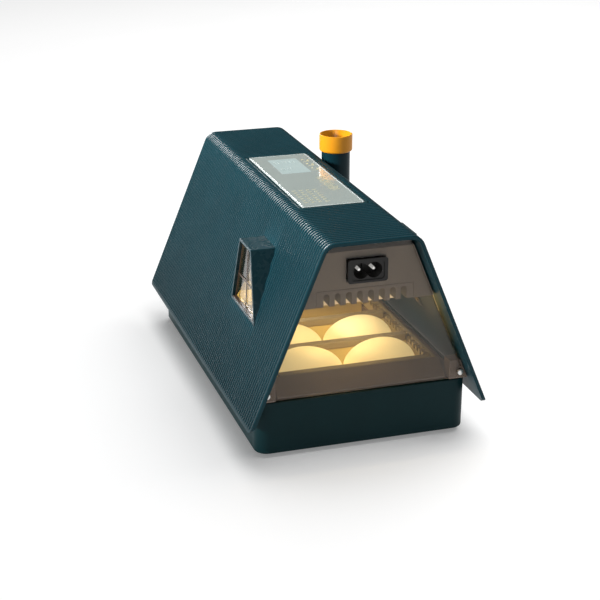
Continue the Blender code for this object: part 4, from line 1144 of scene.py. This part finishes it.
def make_floor():
    """Pale floor that reaches well past every view."""
    bm = bmesh.new()
    bmesh.ops.create_grid(bm, x_segments=8, y_segments=8, size=6.0)
    mesh = bpy.data.meshes.new("studio_floor")
    bm.to_mesh(mesh)
    bm.free()
    floor = bpy.data.objects.new("studio_floor", mesh)
    bpy.context.scene.collection.objects.link(floor)
    look = surface("studio_white", (0.88, 0.88, 0.88), (0.75, 0.85), vary=0.01, mottle=2.0, depth=0.0,
                   Specular_IOR_Level=0.1, Emission_Color=(1, 1, 1, 1), Emission_Strength=0.22)
    floor.data.materials.append(look)
    return floor


def soft_light(name, place, target, wide, power, colour=(1, 1, 1), tall=None):
    """A rectangular area light that faces its target. Places are in metres."""
    data = bpy.data.lights.new(name, "AREA")
    data.shape = "RECTANGLE"
    data.size = wide
    data.size_y = tall or wide
    data.energy = power
    data.color = colour
    lamp = bpy.data.objects.new(name, data)
    lamp.location = place
    lamp.rotation_euler = (Vector(target) - Vector(place)).to_track_quat("-Z", "Y").to_euler()
    bpy.context.scene.collection.objects.link(lamp)
    return lamp


def all_but(name, thing):
    """A collection for light linking that leaves one object out."""
    group = bpy.data.collections.new(name)
    group.objects.link(thing)
    group.collection_objects[0].light_linking.link_state = "EXCLUDE"
    return group


def make_flag(floor):
    """An upright board before the key light. It isn't seen, and shades the lower part of the left slope."""
    bm = bmesh.new()
    corners = ((-900, -1500, 0), (-900, 1500, 0), (-900, 1500, 380), (-900, -1500, 380))
    bm.faces.new([bm.verts.new(corner) for corner in corners])
    flag = solid("studio_flag", bm, floor.data.materials[0])
    for ray in ("camera", "diffuse", "glossy", "transmission"):
        setattr(flag, "visible_" + ray, False)
    return flag


def make_world():
    """Faint, even light from all round."""
    world = bpy.data.worlds.new("studio")
    world.use_nodes = True
    back = world.node_tree.nodes["Background"]
    back.inputs["Color"].default_value = (1, 1, 1, 1)
    back.inputs["Strength"].default_value = 0.15
    bpy.context.scene.world = world
    bpy.context.scene.view_settings.view_transform = "Standard"


def make_lamps():
    """The warm lamp under the housing, as three small lights that move with the lid."""
    for name, (y, power) in LAMPS.items():
        lamp = soft_light(name, (0, y, LAMP_Z), (0, y + 0.028, 0.040), 0.044, power, WARM, 0.018)
        lamp.visible_camera = False
        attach(lamp, "lid")


def make_studio():
    """Floor, a large overhead light, a low key light from the left, and two lights for gloss only.

    The overhead light passes through the flag. The others leave the floor evenly white."""
    floor = make_floor()
    make_world()
    middle = (0, 0, 0.1)
    overhead = soft_light("overhead", (0.7, 0.4, 2.4), (0, 0, 0), 3.0, 84)
    overhead.visible_glossy = False
    overhead.light_linking.blocker_collection = all_but("overhead_blockers", make_flag(floor))
    key = soft_light("key_left", (-2.0, -0.1, 0.5), middle, 0.9, 350)
    key.visible_glossy = False
    rim = soft_light("rim_back", (-0.50, 2.2, 0.98), middle, 1.00, 45, tall=0.45)
    front = soft_light("rim_front", (-0.6, -1.8, 0.8), middle, 0.25, 20)
    for lamp in (rim, front):
        lamp.visible_diffuse = False
        lamp.visible_camera = False
    for lamp in (key, rim, front):
        lamp.light_linking.receiver_collection = all_but(lamp.name + "_receivers", floor)
    make_lamps()


def make_camera():
    """The camera that sees the window end and the left slope from above."""
    data = bpy.data.cameras.new("camera")
    data.sensor_width = 36.0
    data.lens = CAMERA_LENS
    data.clip_start = 0.05
    data.clip_end = 50.0
    camera = bpy.data.objects.new("camera", data)
    camera.location = CAMERA_PLACE
    camera.rotation_euler = Vector(CAMERA_FORWARD).to_track_quat("-Z", "Y").to_euler()
    bpy.context.scene.collection.objects.link(camera)
    bpy.context.scene.camera = camera


def main():
    """Camera first, then the pieces from the outside in, then the studio."""
    make_camera()
    looks = make_looks()
    make_roof(looks)
    make_dormer("left", -1, looks)
    make_dormer("right", 1, looks)
    make_chimney(looks)
    make_panel(looks)
    make_window(looks)
    make_inlet(looks)
    make_rear(looks)
    make_grille(looks)
    make_heater(looks)
    make_lamp(looks)
    make_base(looks)
    make_turner(looks)
    for number in range(1, 5):
        make_egg(number, looks)
    dress_rest(looks)
    make_studio()


main()
